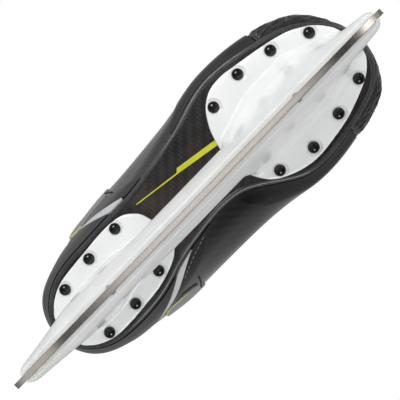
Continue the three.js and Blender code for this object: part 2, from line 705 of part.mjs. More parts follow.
// The heel counter wraps the heel outside the quarters. A silver band on each side, wide at the sole and
// pointed at the ankle, lies in front of it. Each band's upper point is given by its station and row, and
// each of its edges by the station where it meets the sole and how much it bows.
const BANDS = {
  outer: { tip: 2.72, row: 1.34, rear: { end: 3.45, bow: 1 }, front: { end: 3.82, bow: 0.7 } },
  inner: { tip: 2.6, row: 1.22, rear: { end: 3.62, bow: 1.4 }, front: { end: 4.02, bow: 1.03 } },
};
const COUNTER_HEIGHT = 1.75;
const OVERLAY_OUTER = OVERLAY_GAP + 1;
const bandOf = (u) => (u > 0 && u < STATIONS / 2 ? BANDS.outer : BANDS.inner);
function bandEdge({ tip, row }, { end, bow }, s) {
  return row * Math.max(0, 1 - (s - tip) / (end - tip)) ** bow;
}
function counterTop(u) {
  const band = bandOf(u);
  const s = Math.abs(u);
  if (s > band.tip) return bandEdge(band, band.rear, s) - 0.03;
  return COUNTER_HEIGHT - (COUNTER_HEIGHT - band.row) * (s / band.tip) ** 1.2 - 0.03;
}
const heelColumns = (to, from = -to) => columns(from, to, 3);
piece(
  "heel_counter",
  sheet(heelColumns(3.33, -3.35), always(0.06), counterTop, 3, always(OVERLAY_OUTER), always(OVERLAY_GAP)),
  material.counter,
);
for (const [side, band] of Object.entries(BANDS)) {
  const us = columns(band.tip + 0.08, band.front.end - 0.15, 6);
  const low = (u) => Math.max(0.08, bandEdge(band, band.rear, near(u)) + 0.02);
  const high = (u) => bandEdge(band, band.front, near(u));
  const placed = side === "outer" ? us : us.map((u) => STATIONS - u).reverse();
  piece(
    `${side}_silver_band`,
    sheet(placed, low, high, 1, always(OVERLAY_OUTER), always(OVERLAY_GAP)),
    material.silver,
  );
}

// The tendon guard: a fixed root on the back of the collar and a flexible upper part that leans back.
const GUARD_HEIGHT = 40;
const guardHeight = (u) => GUARD_HEIGHT * (1 - (Math.abs(u) / 2.35) ** 2.6);
piece(
  "tendon_guard_base",
  sheet(heelColumns(1.75), always(3.3), always(3.98), 3, always(OVERLAY_GAP + 1.8), always(OVERLAY_GAP)),
  material.plastic,
);
function tendonGuardGeometry() {
  const us = heelColumns(1.75);
  const rows = 4;
  const points = [];
  for (const offset of [OVERLAY_GAP + 1.8, -1.2]) {
    for (const u of us) {
      const start = offWall(u, TOP_ROW, offset);
      for (let j = 0; j <= rows; j++) {
        const up = 1.2 + (guardHeight(u) * j) / rows;
        const lean = -0.1 * up - 0.0016 * up * up;
        points.push(start.clone().add(new THREE.Vector3(lean, 0, up)));
      }
    }
  }
  return fromTriangles(points, sheetFaces(us.length, rows + 1));
}
piece("tendon_guard", tendonGuardGeometry(), material.plastic);

const hingeT = TONGUE_HINGE / (TONGUE.length - 1);
piece("tongue", tongueStrip(0, hingeT - 0.002, 10, 1, 0, TONGUE_THICKNESS), material.felt);
piece("tongue_top", tongueStrip(hingeT + 0.002, 1, 4, 1, 0, TONGUE_THICKNESS), material.felt);
const { from, to, width, height } = BITE_GUARD;
piece("lace_bite_guard", tongueStrip(from, to, 5, width, -height, -GAP), material.plastic);
piece("lace", laceGeometry(), material.lace);
for (const [side, frames] of Object.entries(eyeletRows)) {
  frames.forEach((frame, k) => piece(`${side}_eyelet_${k + 1}`, eyeletGeometry(frame), material.hardware));
}

// ---------- origin ----------

const box = new THREE.Box3().setFromObject(skate);
const centre = box.getCenter(new THREE.Vector3());
skate.position.set(-centre.x, -centre.y, -box.min.z);

export default skate;
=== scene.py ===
"""A right-foot ice hockey skate, seen from straight below: carbon boot, white plastic holder, steel runner.

Lengths in the shape functions are millimetres in the skate's own frame: x towards the toe, y towards the
inner side of the foot, z up, with z = 0 at the ice and the origin under the middle of the runner.
"""

import math

import bmesh
import bpy
import numpy as np
from mathutils import Matrix, Vector
from mathutils.kdtree import KDTree


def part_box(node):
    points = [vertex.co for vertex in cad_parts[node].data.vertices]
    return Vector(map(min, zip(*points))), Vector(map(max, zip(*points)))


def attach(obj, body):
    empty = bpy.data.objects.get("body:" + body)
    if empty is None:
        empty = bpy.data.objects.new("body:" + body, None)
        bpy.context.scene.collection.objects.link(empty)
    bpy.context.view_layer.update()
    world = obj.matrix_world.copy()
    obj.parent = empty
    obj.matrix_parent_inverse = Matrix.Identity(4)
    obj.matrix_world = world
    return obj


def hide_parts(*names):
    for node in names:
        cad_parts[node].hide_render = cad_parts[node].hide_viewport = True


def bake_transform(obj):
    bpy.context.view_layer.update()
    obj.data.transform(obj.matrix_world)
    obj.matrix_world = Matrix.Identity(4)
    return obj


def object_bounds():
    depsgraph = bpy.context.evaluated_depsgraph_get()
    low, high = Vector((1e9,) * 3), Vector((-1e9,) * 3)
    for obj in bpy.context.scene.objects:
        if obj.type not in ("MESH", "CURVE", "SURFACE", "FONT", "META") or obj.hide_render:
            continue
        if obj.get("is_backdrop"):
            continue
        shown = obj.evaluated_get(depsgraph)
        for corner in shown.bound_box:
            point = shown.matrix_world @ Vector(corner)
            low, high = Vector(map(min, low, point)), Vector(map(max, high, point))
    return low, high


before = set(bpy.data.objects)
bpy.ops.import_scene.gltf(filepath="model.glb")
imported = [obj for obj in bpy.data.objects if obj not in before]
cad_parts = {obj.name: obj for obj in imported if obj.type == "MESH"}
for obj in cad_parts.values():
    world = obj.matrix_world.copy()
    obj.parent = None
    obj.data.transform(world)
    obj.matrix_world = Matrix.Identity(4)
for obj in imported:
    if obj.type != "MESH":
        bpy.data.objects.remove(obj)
CAD_BOX = [list(corner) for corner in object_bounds()]

MM = 0.001
RUNNER_LOW, RUNNER_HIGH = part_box("runner")
ORIGIN = np.array(
    [
        (RUNNER_LOW[0] + RUNNER_HIGH[0]) / 2,
        (RUNNER_LOW[1] + RUNNER_HIGH[1]) / 2,
        RUNNER_LOW[2],
    ]
)

# ---------- driving dimensions, in mm ----------

SOLE_HEIGHT = 64.7
SOLE_PITCH = 0.0625
OUTSOLE = 3.5
BOARD = 2.2
WASHER = 1.6
FLANGE = 3.6
SHELL = 2.6
FACING = 3.0
GAP = 0.35
RUNNER_HALF_LENGTH = 143
RUNNER_HALF_WIDTH = 1.7
RUNNER_TOP = 23
ROCKER_RADIUS = 3350
BOOT_MIDDLE_Y = -3.5
EYELET_V = 3.8
EYELETS_PER_SIDE = 10
RIVET_RADIUS = 3.75
RIVET_HEIGHT = 2.6


def sole_z(x):
    return SOLE_HEIGHT - SOLE_PITCH * x


# ---------- curves and grids ----------


def catmull(a, b, c, d, t):
    """The uniform Catmull-Rom curve from b to c, at t."""
    return b + 0.5 * t * (c - a + t * (2 * a - 5 * b + 4 * c - d + t * (3 * (b - c) + d - a)))


def through(points, t, closed=False):
    """A smooth curve through the points: t runs over 0 to 1 for the whole curve."""
    points = np.asarray(points, float)
    n = len(points)
    place = np.asarray(t, float) * (n if closed else n - 1)
    first = np.floor(place).astype(int)
    if closed:
        near = [points[(first + k) % n] for k in (-1, 0, 1, 2)]
    else:
        first = np.clip(first, 0, n - 2)
        before = 2 * points[0] - points[1]
        after = 2 * points[-1] - points[-2]
        padded = np.vstack([before, points, after])
        near = [padded[first + k] for k in (0, 1, 2, 3)]
    return catmull(*near, (place - first)[..., None])


def smoothstep(x, low, high):
    t = np.clip((np.asarray(x, float) - low) / (high - low), 0, 1)
    return t * t * (3 - 2 * t)


def grid_faces(rows, columns, closed_rows=False, closed_columns=False, start=0, flip=False):
    """Quads over a grid of points stored row by row."""
    faces = []
    for i in range(rows if closed_rows else rows - 1):
        for j in range(columns if closed_columns else columns - 1):
            a = start + i * columns + j
            b = start + i * columns + (j + 1) % columns
            c = start + ((i + 1) % rows) * columns + (j + 1) % columns
            d = start + ((i + 1) % rows) * columns + j
            faces.append((a, b, c, d) if flip else (a, d, c, b))
    return faces


def tube_faces(rows, columns, start=0, flip=True):
    """Faces of a closed tube: rings of points, with a flat face over each end."""
    faces = grid_faces(rows, columns, closed_columns=True, start=start, flip=flip)
    last = start + (rows - 1) * columns
    return faces + [tuple(reversed(range(start, start + columns))), tuple(range(last, last + columns))]


def shell_faces(rows, columns):
    """Faces of a closed sheet: an outer grid of points, then an inner one of the same size."""
    size = rows * columns
    faces = grid_faces(rows, columns)
    faces += grid_faces(rows, columns, start=size, flip=True)
    for i in range(rows - 1):
        a, b = i * columns, (i + 1) * columns
        top_a, top_b = a + columns - 1, b + columns - 1
        faces.append((a, a + size, b + size, b))
        faces.append((top_a, top_b, top_b + size, top_a + size))
    last = (rows - 1) * columns
    for j in range(columns - 1):
        faces.append((j, j + 1, j + 1 + size, j + size))
        faces.append((last + j, last + j + size, last + j + 1 + size, last + j + 1))
    return faces


# ---------- Blender objects ----------


def to_world(points):
    return np.asarray(points, float) * MM + ORIGIN


def outwards(mesh):
    """Turns the faces of a closed mesh to the outside."""
    work = bmesh.new()
    work.from_mesh(mesh)
    bmesh.ops.recalc_face_normals(work, faces=work.faces)
    work.to_mesh(mesh)
    work.free()


def mesh_object(name, points, faces, material=None, smooth=True, cloth=None):
    """A new object from points in mm. cloth is a (distance along, distance up) pair for each point,
    in mm, which weaves and knits follow."""
    mesh = bpy.data.meshes.new(name)
    mesh.from_pydata(to_world(points).tolist(), [], [tuple(int(i) for i in f) for f in faces])
    mesh.validate()
    outwards(mesh)
    if smooth:
        mesh.shade_smooth()
    if cloth is not None:
        layer = mesh.attributes.new("cloth", "FLOAT_VECTOR", "POINT")
        values = np.zeros((len(points), 3))
        values[:, :2] = cloth
        layer.data.foreach_set("vector", values.astype(np.float32).ravel())
    made = bpy.data.objects.new(name, mesh)
    bpy.context.scene.collection.objects.link(made)
    if material is not None:
        mesh.materials.append(material)
    return made


def apply_modifiers(obj):
    """Puts the object's modifiers into its mesh."""
    bpy.context.view_layer.update()
    evaluated = obj.evaluated_get(bpy.context.evaluated_depsgraph_get())
    mesh = bpy.data.meshes.new_from_object(evaluated)
    old = obj.data
    obj.modifiers.clear()
    obj.data = mesh
    mesh.name = obj.name
    bpy.data.meshes.remove(old)
    return obj


def bevel(obj, width, segments=3, angle=50):
    """Rounds the sharp edges, and keeps smooth shading with flat sides between them."""
    rounding = obj.modifiers.new("edges", "BEVEL")
    rounding.width = width * MM
    rounding.segments = segments
    rounding.limit_method = "ANGLE"
    rounding.angle_limit = math.radians(angle)
    rounding.use_clamp_overlap = True
    return apply_modifiers(obj)


def coordinates(mesh):
    values = np.empty(3 * len(mesh.vertices), np.float32)
    mesh.vertices.foreach_get("co", values)
    return values.reshape(-1, 3).astype(float)


def nearest(points, targets, count=1):
    """For each of the targets, the indices and distances of the nearest of the points."""
    tree = KDTree(len(points))
    for i, point in enumerate(points):
        tree.insert(point, i)
    tree.balance()
    found = [[(i, d) for _, i, d in tree.find_n(target, count)] for target in targets]
    return np.array(found)[..., 0].astype(int), np.array(found)[..., 1]


def puff(obj, held, reach, voxel=3.0, pressure=4.0):
    """Fills out a pad by simulating a remeshed copy of it as pressurised cloth, and moves its points as
    the copy's did, reach mm at most. held is 1 for points that are sewn or glued down, 0 for free ones."""
    shape = coordinates(obj.data)
    copy = bpy.data.objects.new(f"{obj.name}_cloth", obj.data.copy())
    bpy.context.scene.collection.objects.link(copy)
    remesh = copy.modifiers.new("remesh", "REMESH")
    remesh.mode = "VOXEL"
    remesh.voxel_size = voxel * MM
    apply_modifiers(copy)
    before = coordinates(copy.data)
    index, _ = nearest(shape, before)
    pins = copy.vertex_groups.new(name="held")
    for i, weight in enumerate(held[index[:, 0]]):
        pins.add([i], float(weight), "REPLACE")
    cloth = copy.modifiers.new("cloth", "CLOTH")
    cloth.settings.vertex_group_mass = pins.name
    cloth.settings.use_pressure = True
    cloth.settings.uniform_pressure_force = pressure
    cloth.settings.effector_weights.gravity = 0
    cloth.point_cache.frame_start, cloth.point_cache.frame_end = 1, 20
    for frame_number in range(1, 21):
        bpy.context.scene.frame_set(frame_number)
    apply_modifiers(copy)
    moved = coordinates(copy.data) - before
    size = np.linalg.norm(moved, axis=1, keepdims=True)
    moved *= np.minimum(1, reach * MM / np.maximum(size, 1e-9))
    index, distance = nearest(before, shape, 4)
    share = 1 / (distance + 1e-5)
    share /= share.sum(1, keepdims=True)
    shape += (moved[index] * share[..., None]).sum(1) * (1 - held)[:, None]
    obj.data.vertices.foreach_set("co", shape.astype(np.float32).ravel())
    obj.data.update()
    bpy.data.objects.remove(copy)
    bpy.context.scene.frame_set(1)
    return obj


def boolean(obj, tool, operation="DIFFERENCE"):
    """Cuts or joins obj with tool, and removes tool."""
    step = obj.modifiers.new("boolean", "BOOLEAN")
    step.operation = operation
    step.solver = "EXACT"
    step.object = tool
    apply_modifiers(obj)
    bpy.data.objects.remove(tool)
    return obj


def joined(name, objects):
    """One object that holds the meshes of several, which are removed."""
    points, faces = [], []
    for obj in objects:
        start = len(points)
        points += [v.co[:] for v in obj.data.vertices]
        faces += [tuple(start + i for i in p.vertices) for p in obj.data.polygons]
        bpy.data.objects.remove(obj)
    mesh = bpy.data.meshes.new(name)
    mesh.from_pydata(points, [], faces)
    made = bpy.data.objects.new(name, mesh)
    bpy.context.scene.collection.objects.link(made)
    return made


def place(obj, body="boot", nodes=(), slot=None):
    """The piece moves with a body and stands for CAD nodes, which it hides. Its slot is not used."""
    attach(obj, body)
    if nodes:
        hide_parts(*nodes)
    return obj


# ---------- shader building ----------


class Shader:
    """A short way to write a material's nodes."""

    def __init__(self, name):
        self.material = bpy.data.materials.new(name)
        self.material.use_nodes = True
        self.tree = self.material.node_tree
        self.tree.nodes.clear()

    def add(self, kind, inputs=None, **settings):
        node = self.tree.nodes.new("ShaderNode" + kind)
        for key, value in settings.items():
            setattr(node, key, value)
        for key, value in (inputs or {}).items():
            self.put(node.inputs[key], value)
        return node

    def put(self, socket, value):
        """Links a socket, or sets it to a value. An RGB colour gets its alpha."""
        if isinstance(value, bpy.types.NodeSocket):
            self.tree.links.new(value, socket)
        elif value is not None:
            color = socket.type == "RGBA" and len(value) == 3
            socket.default_value = (*value, 1) if color else value

    def math(self, operation, a, b=None, c=None, clamp=False):
        node = self.add("Math", operation=operation, use_clamp=clamp)
        for socket, value in zip(node.inputs, (a, b, c)):
            self.put(socket, value)
        return node.outputs[0]

    def where(self):
        """The object's own coordinates, in metres."""
        return self.add("TexCoord").outputs["Object"]

    def cloth(self):
        """The (along, up) distances stored on the mesh, in mm."""
        return self.add("Attribute", attribute_name="cloth").outputs["Vector"]

    def split(self, vector):
        return self.add("SeparateXYZ", {0: vector}).outputs

    def scaled(self, vector, scale):
        node = self.add("VectorMath", {0: vector, 1: scale}, operation="MULTIPLY")
        return node.outputs[0]

    def noise(self, vector, scale, detail=3.0, roughness=0.55, distortion=0.0):
        node = self.add(
            "TexNoise",
            {
                "Vector": vector,
                "Scale": scale,
                "Detail": detail,
                "Roughness": roughness,
                "Distortion": distortion,
            },
        )
        return node.outputs["Fac"]

    def ramp(self, value, low, high, to_low=0.0, to_high=1.0):
        node = self.add(
            "MapRange",
            {"Value": value, "From Min": low, "From Max": high, "To Min": to_low, "To Max": to_high},
        )
        return node.outputs[0]

    def mix(self, factor, a, b):
        node = self.add("Mix", data_type="RGBA")
        self.put(node.inputs[0], factor)
        self.put(node.inputs[6], a)
        self.put(node.inputs[7], b)
        return node.outputs[2]

    def blend(self, factor, a, b):
        node = self.add("Mix", data_type="FLOAT")
        for socket, value in zip((node.inputs[0], node.inputs[2], node.inputs[3]), (factor, a, b)):
            self.put(socket, value)
        return node.outputs[0]

    def bump(self, height, distance, strength=1.0, normal=None):
        """distance is the depth, in mm, of a height of 1."""
        inputs = {"Height": height, "Distance": distance * MM, "Strength": strength}
        if normal is not None:
            inputs["Normal"] = normal
        return self.add("Bump", inputs).outputs[0]

    def finish(self, color, roughness=0.5, normal=None, **fixed):
        """The surface. fixed holds the Principled sockets that are the same everywhere."""
        surface = self.add("BsdfPrincipled")
        self.put(surface.inputs["Base Color"], color)
        self.put(surface.inputs["Roughness"], roughness)
        self.put(surface.inputs["Normal"], normal)
        for key, value in fixed.items():
            surface.inputs[key.replace("_", " ")].default_value = value
        output = self.add("OutputMaterial")
        self.tree.links.new(surface.outputs[0], output.inputs[0])
        return self.material


# ---------- materials ----------


def holder_plastic():
    """Glossy white nylon: a faint waviness, and slightly milky in depth."""
    s = Shader("holder_plastic")
    here = s.where()
    waves = s.noise(here, 90, 2, 0.5)
    cloudy = s.mix(s.ramp(s.noise(here, 35, 2), 0.3, 0.7), (0.80, 0.815, 0.82), (0.86, 0.87, 0.87))
    rough = s.ramp(s.noise(here, 140, 3), 0.3, 0.75, 0.16, 0.26)
    normal = s.bump(waves, 0.12, 0.12)
    return s.finish(
        cloudy,
        rough,
        normal,
        Subsurface_Weight=0.25,
        Subsurface_Radius=(1.0, 1.0, 1.0),
        Subsurface_Scale=0.002,
        IOR=1.5,
        Coat_Weight=0.2,
        Coat_Roughness=0.06,
    )


def ground_steel():
    """Stainless steel: ground lengthwise on the sole of the blade and crosswise on its polished sides."""
    s = Shader("ground_steel")
    here = s.where()
    z = s.split(here)[2]
    lengthwise = s.noise(s.scaled(here, (25, 2600, 500)), 1.0, 3, 0.6)
    crosswise = s.noise(s.scaled(here, (900, 300, 60)), 1.0, 2, 0.5)
    sides = s.ramp(z, ORIGIN[2] + 0.0012, ORIGIN[2] + 0.0022)
    lines = s.blend(sides, lengthwise, crosswise)
    color = s.mix(s.ramp(lines, 0.3, 0.75), (0.59, 0.55, 0.505), (0.64, 0.60, 0.55))
    rough = s.ramp(lines, 0.3, 0.75, 0.2, 0.26)
    return s.finish(color, rough, s.bump(lines, 0.004, 0.2), Metallic=1.0)


def black_rivet():
    s = Shader("black_rivet")
    here = s.where()
    fine = s.noise(here, 900, 3, 0.6)
    color = s.mix(s.ramp(fine, 0.35, 0.7), (0.004, 0.004, 0.0045), (0.009, 0.009, 0.0095))
    rough = s.ramp(s.noise(here, 350, 2), 0.35, 0.7, 0.04, 0.09)
    return s.finish(color, rough, s.bump(fine, 0.01, 0.1), IOR=1.5)


def plated_steel():
    s = Shader("plated_steel")
    here = s.where()
    fine = s.noise(here, 1200, 3, 0.6)
    color = s.mix(s.ramp(fine, 0.35, 0.7), (0.40, 0.40, 0.41), (0.56, 0.56, 0.57))
    return s.finish(color, s.ramp(fine, 0.3, 0.7, 0.22, 0.36), s.bump(fine, 0.02, 0.2), Metallic=1.0)


def twill(s, along, up, tow):
    """A 2/2 twill of tows of the given width in mm: which tow is on top, and its rounded height."""
    a = s.math("DIVIDE", along, tow)
    b = s.math("DIVIDE", up, tow)
    step = s.math("ADD", s.math("FLOOR", a), s.math("FLOOR", b))
    warp = s.math("LESS_THAN", s.math("FLOORED_MODULO", step, 4.0), 1.5)
    round_a = s.math("SINE", s.math("MULTIPLY", s.math("FRACT", a), math.pi))
    round_b = s.math("SINE", s.math("MULTIPLY", s.math("FRACT", b), math.pi))
    return warp, s.blend(warp, round_b, round_a)


def carbon(name, tow, dark, light, coordinates="cloth", clear=1.0, resin_tone_and_painted_sheen=0.0):
    """Clear-coated carbon twill, with light and shade painted into its colour: the warp tows lighter than
    the weft tows, and each tow darker towards its edges. The last argument sets pale brown patches over it
    in places: the resin's brown tone with a painted sheen.
    """
    s = Shader(name)
    if coordinates == "cloth":
        along, up, _ = s.split(s.cloth())
        threads = s.cloth()
        thread_scale = 1.0
    else:
        x, y, _ = s.split(s.where())
        along, up = s.math("MULTIPLY", x, 1000.0), s.math("MULTIPLY", y, 1000.0)
        threads = s.where()
        thread_scale = 1000.0
    warp, height = twill(s, along, up, tow)
    threads = s.scaled(threads, (thread_scale,) * 3)
    along_threads = s.noise(s.scaled(threads, (0.25, 7.0, 1.0)), 1.0, 2)
    up_threads = s.noise(s.scaled(threads, (7.0, 0.25, 1.0)), 1.0, 2)
    fibre = s.blend(warp, along_threads, up_threads)
    # Painted light and shade: the warp tows are painted lighter than the weft, and each tow is painted
    # darker towards its edges, as shade between the tows.
    painted_warp_light = s.math("ADD", s.math("MULTIPLY", warp, 0.65), 0.35)
    painted_tow_shade_and_fibre = s.math("MULTIPLY", painted_warp_light, s.math("ADD", height, 0.15))
    painted_tow_shade_and_fibre = s.math("MULTIPLY", painted_tow_shade_and_fibre, s.ramp(fibre, 0.25, 0.75, 0.6, 1.25))
    color = s.mix(s.math("MINIMUM", painted_tow_shade_and_fibre, 1.0), dark, light)
    # Pale brown patches: partly the resin's brown tone, partly a painted sheen.
    if resin_tone_and_painted_sheen:
        resin_and_painted_sheen_patches = s.ramp(s.noise(s.where(), 28, 3), 0.4, 0.75, 0.0, resin_tone_and_painted_sheen)
        color = s.mix(resin_and_painted_sheen_patches, color, (0.085, 0.065, 0.058))
    normal = s.bump(s.math("ADD", height, s.math("MULTIPLY", fibre, 0.35)), 0.05, 0.35)
    rough = s.ramp(fibre, 0.2, 0.8, 0.34, 0.5)
    fixed = {"Specular_IOR_Level": 0.2, "Coat_Weight": clear, "Coat_Roughness": 0.06, "Coat_IOR": 1.45}
    return s.finish(color, rough, normal, **fixed)


def gloss_black(name, color=(0.010, 0.010, 0.011), low=0.10, high=0.22, coat=0.6):
    """Smooth moulded or lacquered black."""
    s = Shader(name)
    here = s.where()
    waves = s.noise(here, 70, 2)
    fine = s.noise(here, 900, 3)
    shade = s.mix(s.ramp(waves, 0.35, 0.7), color, tinted(color, 1.7))
    normal = s.bump(fine, 0.02, 0.12, s.bump(waves, 0.4, 0.08))
    rough = s.ramp(fine, 0.3, 0.7, low, high)
    return s.finish(shade, rough, normal, Specular_IOR_Level=0.35, Coat_Weight=coat, Coat_Roughness=0.05)


def rough_toe():
    """Toe cap plastic: streaks and small ridges that run back from the toe, under a shiny skin. Their
    crests are painted lighter and their hollows darker, a painted highlight and painted shade.
    """
    s = Shader("toe_cap_plastic")
    ground = s.scaled(s.cloth(), (0.16, 0.75, 1.0))
    streaks = s.noise(ground, 1.0, 5, 0.62, 1.4)
    ridges = s.math("ABSOLUTE", s.math("SUBTRACT", streaks, 0.5))
    pits = s.noise(s.scaled(s.cloth(), (1.0, 1.6, 1.0)), 1.0, 4, 0.6, 0.8)
    height = s.math("ADD", s.math("MULTIPLY", ridges, 3.0), s.math("MULTIPLY", pits, 0.8))
    # Painted highlight and shade: the colour is lighter on the raised ridges and darker in the hollows
    # between them.
    color = s.mix(s.ramp(height, 0.3, 1.0), (0.007, 0.007, 0.008), (0.032, 0.032, 0.034))
    rough = s.ramp(pits, 0.3, 0.7, 0.2, 0.5)
    return s.finish(color, rough, s.bump(height, 0.7, 0.7), IOR=1.5, Coat_Weight=1.0, Coat_Roughness=0.1)


def tinted(color, amount):
    return tuple(min(1, amount * c) for c in color)


def satin(name, color, roughness=0.4, metallic=0.0, grain=0.03, coat=0.0):
    """Satin plastic or film with a fine moulded grain and faint scuffs."""
    s = Shader(name)
    here = s.where()
    pebble = s.noise(here, 1700, 3, 0.6)
    scuffs = s.noise(s.scaled(here, (60, 400, 400)), 1.0, 4, 0.7)
    shade = s.mix(s.ramp(scuffs, 0.3, 0.8), tinted(color, 0.88), tinted(color, 1.12))
    rough = s.ramp(pebble, 0.3, 0.7, roughness - 0.07, roughness + 0.09)
    normal = s.bump(pebble, grain, 0.5)
    return s.finish(shade, rough, normal, Metallic=metallic, Coat_Weight=coat, Coat_Roughness=0.1)


def microfibre(name, color, sheen=0.25, scale=1500):
    """Brushed microfibre: soft, with short nap and a faint woven ground."""
    s = Shader(name)
    here = s.where()
    nap = s.noise(here, scale, 4, 0.7)
    cloudy = s.noise(here, 80, 3)
    tone = s.math("MULTIPLY", s.ramp(nap, 0.25, 0.75, 0.7, 1.2), s.ramp(cloudy, 0.3, 0.7, 0.85, 1.15))
    shade = s.mix(s.ramp(tone, 0.5, 1.4), tinted(color, 0.6), tinted(color, 1.4))
    normal = s.bump(nap, 0.16, 0.6, s.bump(cloudy, 0.8, 0.25))
    tint = (0.6, 0.6, 0.62, 1)
    return s.finish(shade, 0.9, normal, Sheen_Weight=sheen, Sheen_Roughness=0.45, Sheen_Tint=tint)


def felt():
    """Pressed wool felt: matted fibres and small clumps."""
    s = Shader("felt")
    here = s.where()
    fibres = s.noise(here, 950, 5, 0.75, 1.5)
    clumps = s.noise(here, 180, 4, 0.6, 0.6)
    tone = s.math("ADD", s.math("MULTIPLY", fibres, 0.6), s.math("MULTIPLY", clumps, 0.4))
    shade = s.mix(s.ramp(tone, 0.3, 0.7), (0.42, 0.42, 0.40), (0.74, 0.74, 0.71))
    normal = s.bump(fibres, 0.35, 0.8, s.bump(clumps, 1.0, 0.4))
    return s.finish(shade, 0.95, normal, Sheen_Weight=0.4, Sheen_Roughness=0.5)


def woven(name, light, dark, across=0.9, along=0.9, depth=0.18):
    """A tight plain weave or braid that follows the piece's cloth coordinates, threads in mm."""
    s = Shader(name)
    a, b, _ = s.split(s.cloth())
    a = s.math("DIVIDE", a, along)
    b = s.math("DIVIDE", b, across)
    step = s.math("ADD", s.math("FLOOR", a), s.math("FLOOR", b))
    over = s.math("LESS_THAN", s.math("FLOORED_MODULO", step, 2.0), 0.5)
    round_a = s.math("SINE", s.math("MULTIPLY", s.math("FRACT", a), math.pi))
    round_b = s.math("SINE", s.math("MULTIPLY", s.math("FRACT", b), math.pi))
    height = s.math("MULTIPLY", s.math("MULTIPLY", round_a, round_b), s.ramp(over, 0, 1, 0.6, 1.0))
    fuzz = s.noise(s.where(), 2400, 3, 0.7)
    # Painted shade: the threads are darker towards their edges and where they pass under; the fuzz is the
    # yarn's own tone.
    tone = s.math("ADD", s.math("MULTIPLY", height, 0.75), s.math("MULTIPLY", fuzz, 0.35))
    shade = s.mix(s.ramp(tone, 0.1, 0.9), dark, light)
    normal = s.bump(s.math("ADD", height, s.math("MULTIPLY", fuzz, 0.3)), depth, 0.8)
    return s.finish(shade, 0.8, normal, Sheen_Weight=0.25, Sheen_Roughness=0.5)


def board_fibre():
    s = Shader("insole_fibreboard")
    fibre = s.noise(s.scaled(s.where(), (300, 900, 900)), 1.0, 5, 0.7)
    shade = s.mix(s.ramp(fibre, 0.3, 0.7), (0.20, 0.155, 0.10), (0.34, 0.28, 0.20))
    return s.finish(shade, 0.85, s.bump(fibre, 0.2, 0.4))


def pale_floor():
    """Seen from above it is a plain floor; from below it is clear, so that the sole can be seen."""
    s = Shader("pale_floor")
    behind = s.add("NewGeometry").outputs["Backfacing"]
    face = s.add("BsdfDiffuse", {"Color": (0.82, 0.82, 0.81, 1)})
    clear = s.add("BsdfTransparent")
    both = s.add("MixShader", {0: behind, 1: face.outputs[0], 2: clear.outputs[0]})
    output = s.add("OutputMaterial")
    s.tree.links.new(both.outputs[0], output.inputs[0])
    return s.material


def white_backdrop():
    s = Shader("white_backdrop")
    glow = s.add("Emission", {"Color": (1, 1, 1, 1), "Strength": 1.0})
    output = s.add("OutputMaterial")
    s.tree.links.new(glow.outputs[0], output.inputs[0])
    return s.material


LOOK = {
    "holder": holder_plastic(),
    "steel": ground_steel(),
    "rivet": black_rivet(),
    "hardware": plated_steel(),
    # The sole carbon's last number sets its pale brown patches, the resin's tone with a painted sheen.
    "sole": carbon("sole_carbon", 2.1, (0.005, 0.005, 0.0055), (0.026, 0.025, 0.025), "flat", 0.5, 0.55),
    "rim": gloss_black("sole_rim", (0.034, 0.034, 0.036), 0.2, 0.34, 0.3),
    "carbon": carbon("quarter_carbon", 2.0, (0.003, 0.003, 0.0033), (0.014, 0.014, 0.015)),
    "band": gloss_black("ball_band", (0.006, 0.006, 0.0065), 0.10, 0.2, 0.3),
    "toe_cap": rough_toe(),
    "counter": satin("heel_counter_film", (0.026, 0.026, 0.028), 0.36, coat=0.2),
    "silver": satin("silver_film", (0.68, 0.70, 0.72), 0.32, metallic=0.3, coat=0.3),
    "ankle": satin("ankle_film", (0.21, 0.21, 0.205), 0.38, coat=0.3),
    "sweep": gloss_black("sweep_film", (0.007, 0.007, 0.0075), 0.16, 0.28, 0.3),
    "rib": gloss_black("rib_plastic", (0.010, 0.010, 0.011), 0.2, 0.34, 0.3),
    "piping": satin("pale_piping", (0.62, 0.56, 0.24), 0.4),
    "yellow": satin("yellow_accent", (0.62, 0.62, 0.018), 0.35, coat=0.2),
    "facing": microfibre("facing_microfibre", (0.022, 0.022, 0.024), 0.1, 2200),
    "liner": microfibre("liner_microfibre", (0.055, 0.055, 0.060)),
    "thread": woven("stitch_thread", (0.30, 0.30, 0.30), (0.10, 0.10, 0.10), 0.4, 0.6, 0.1),
    "felt": felt(),
    "plastic": satin("satin_black_plastic", (0.022, 0.022, 0.024), 0.38, grain=0.05),
    "footbed": woven("footbed_cover", (0.50, 0.53, 0.05), (0.20, 0.22, 0.02), 1.1, 1.1),
    "board": board_fibre(),
    "lace": woven("lace_braid", (0.80, 0.80, 0.77), (0.42, 0.42, 0.40), 0.75, 0.95),
}

# ---------- the boot wall ----------

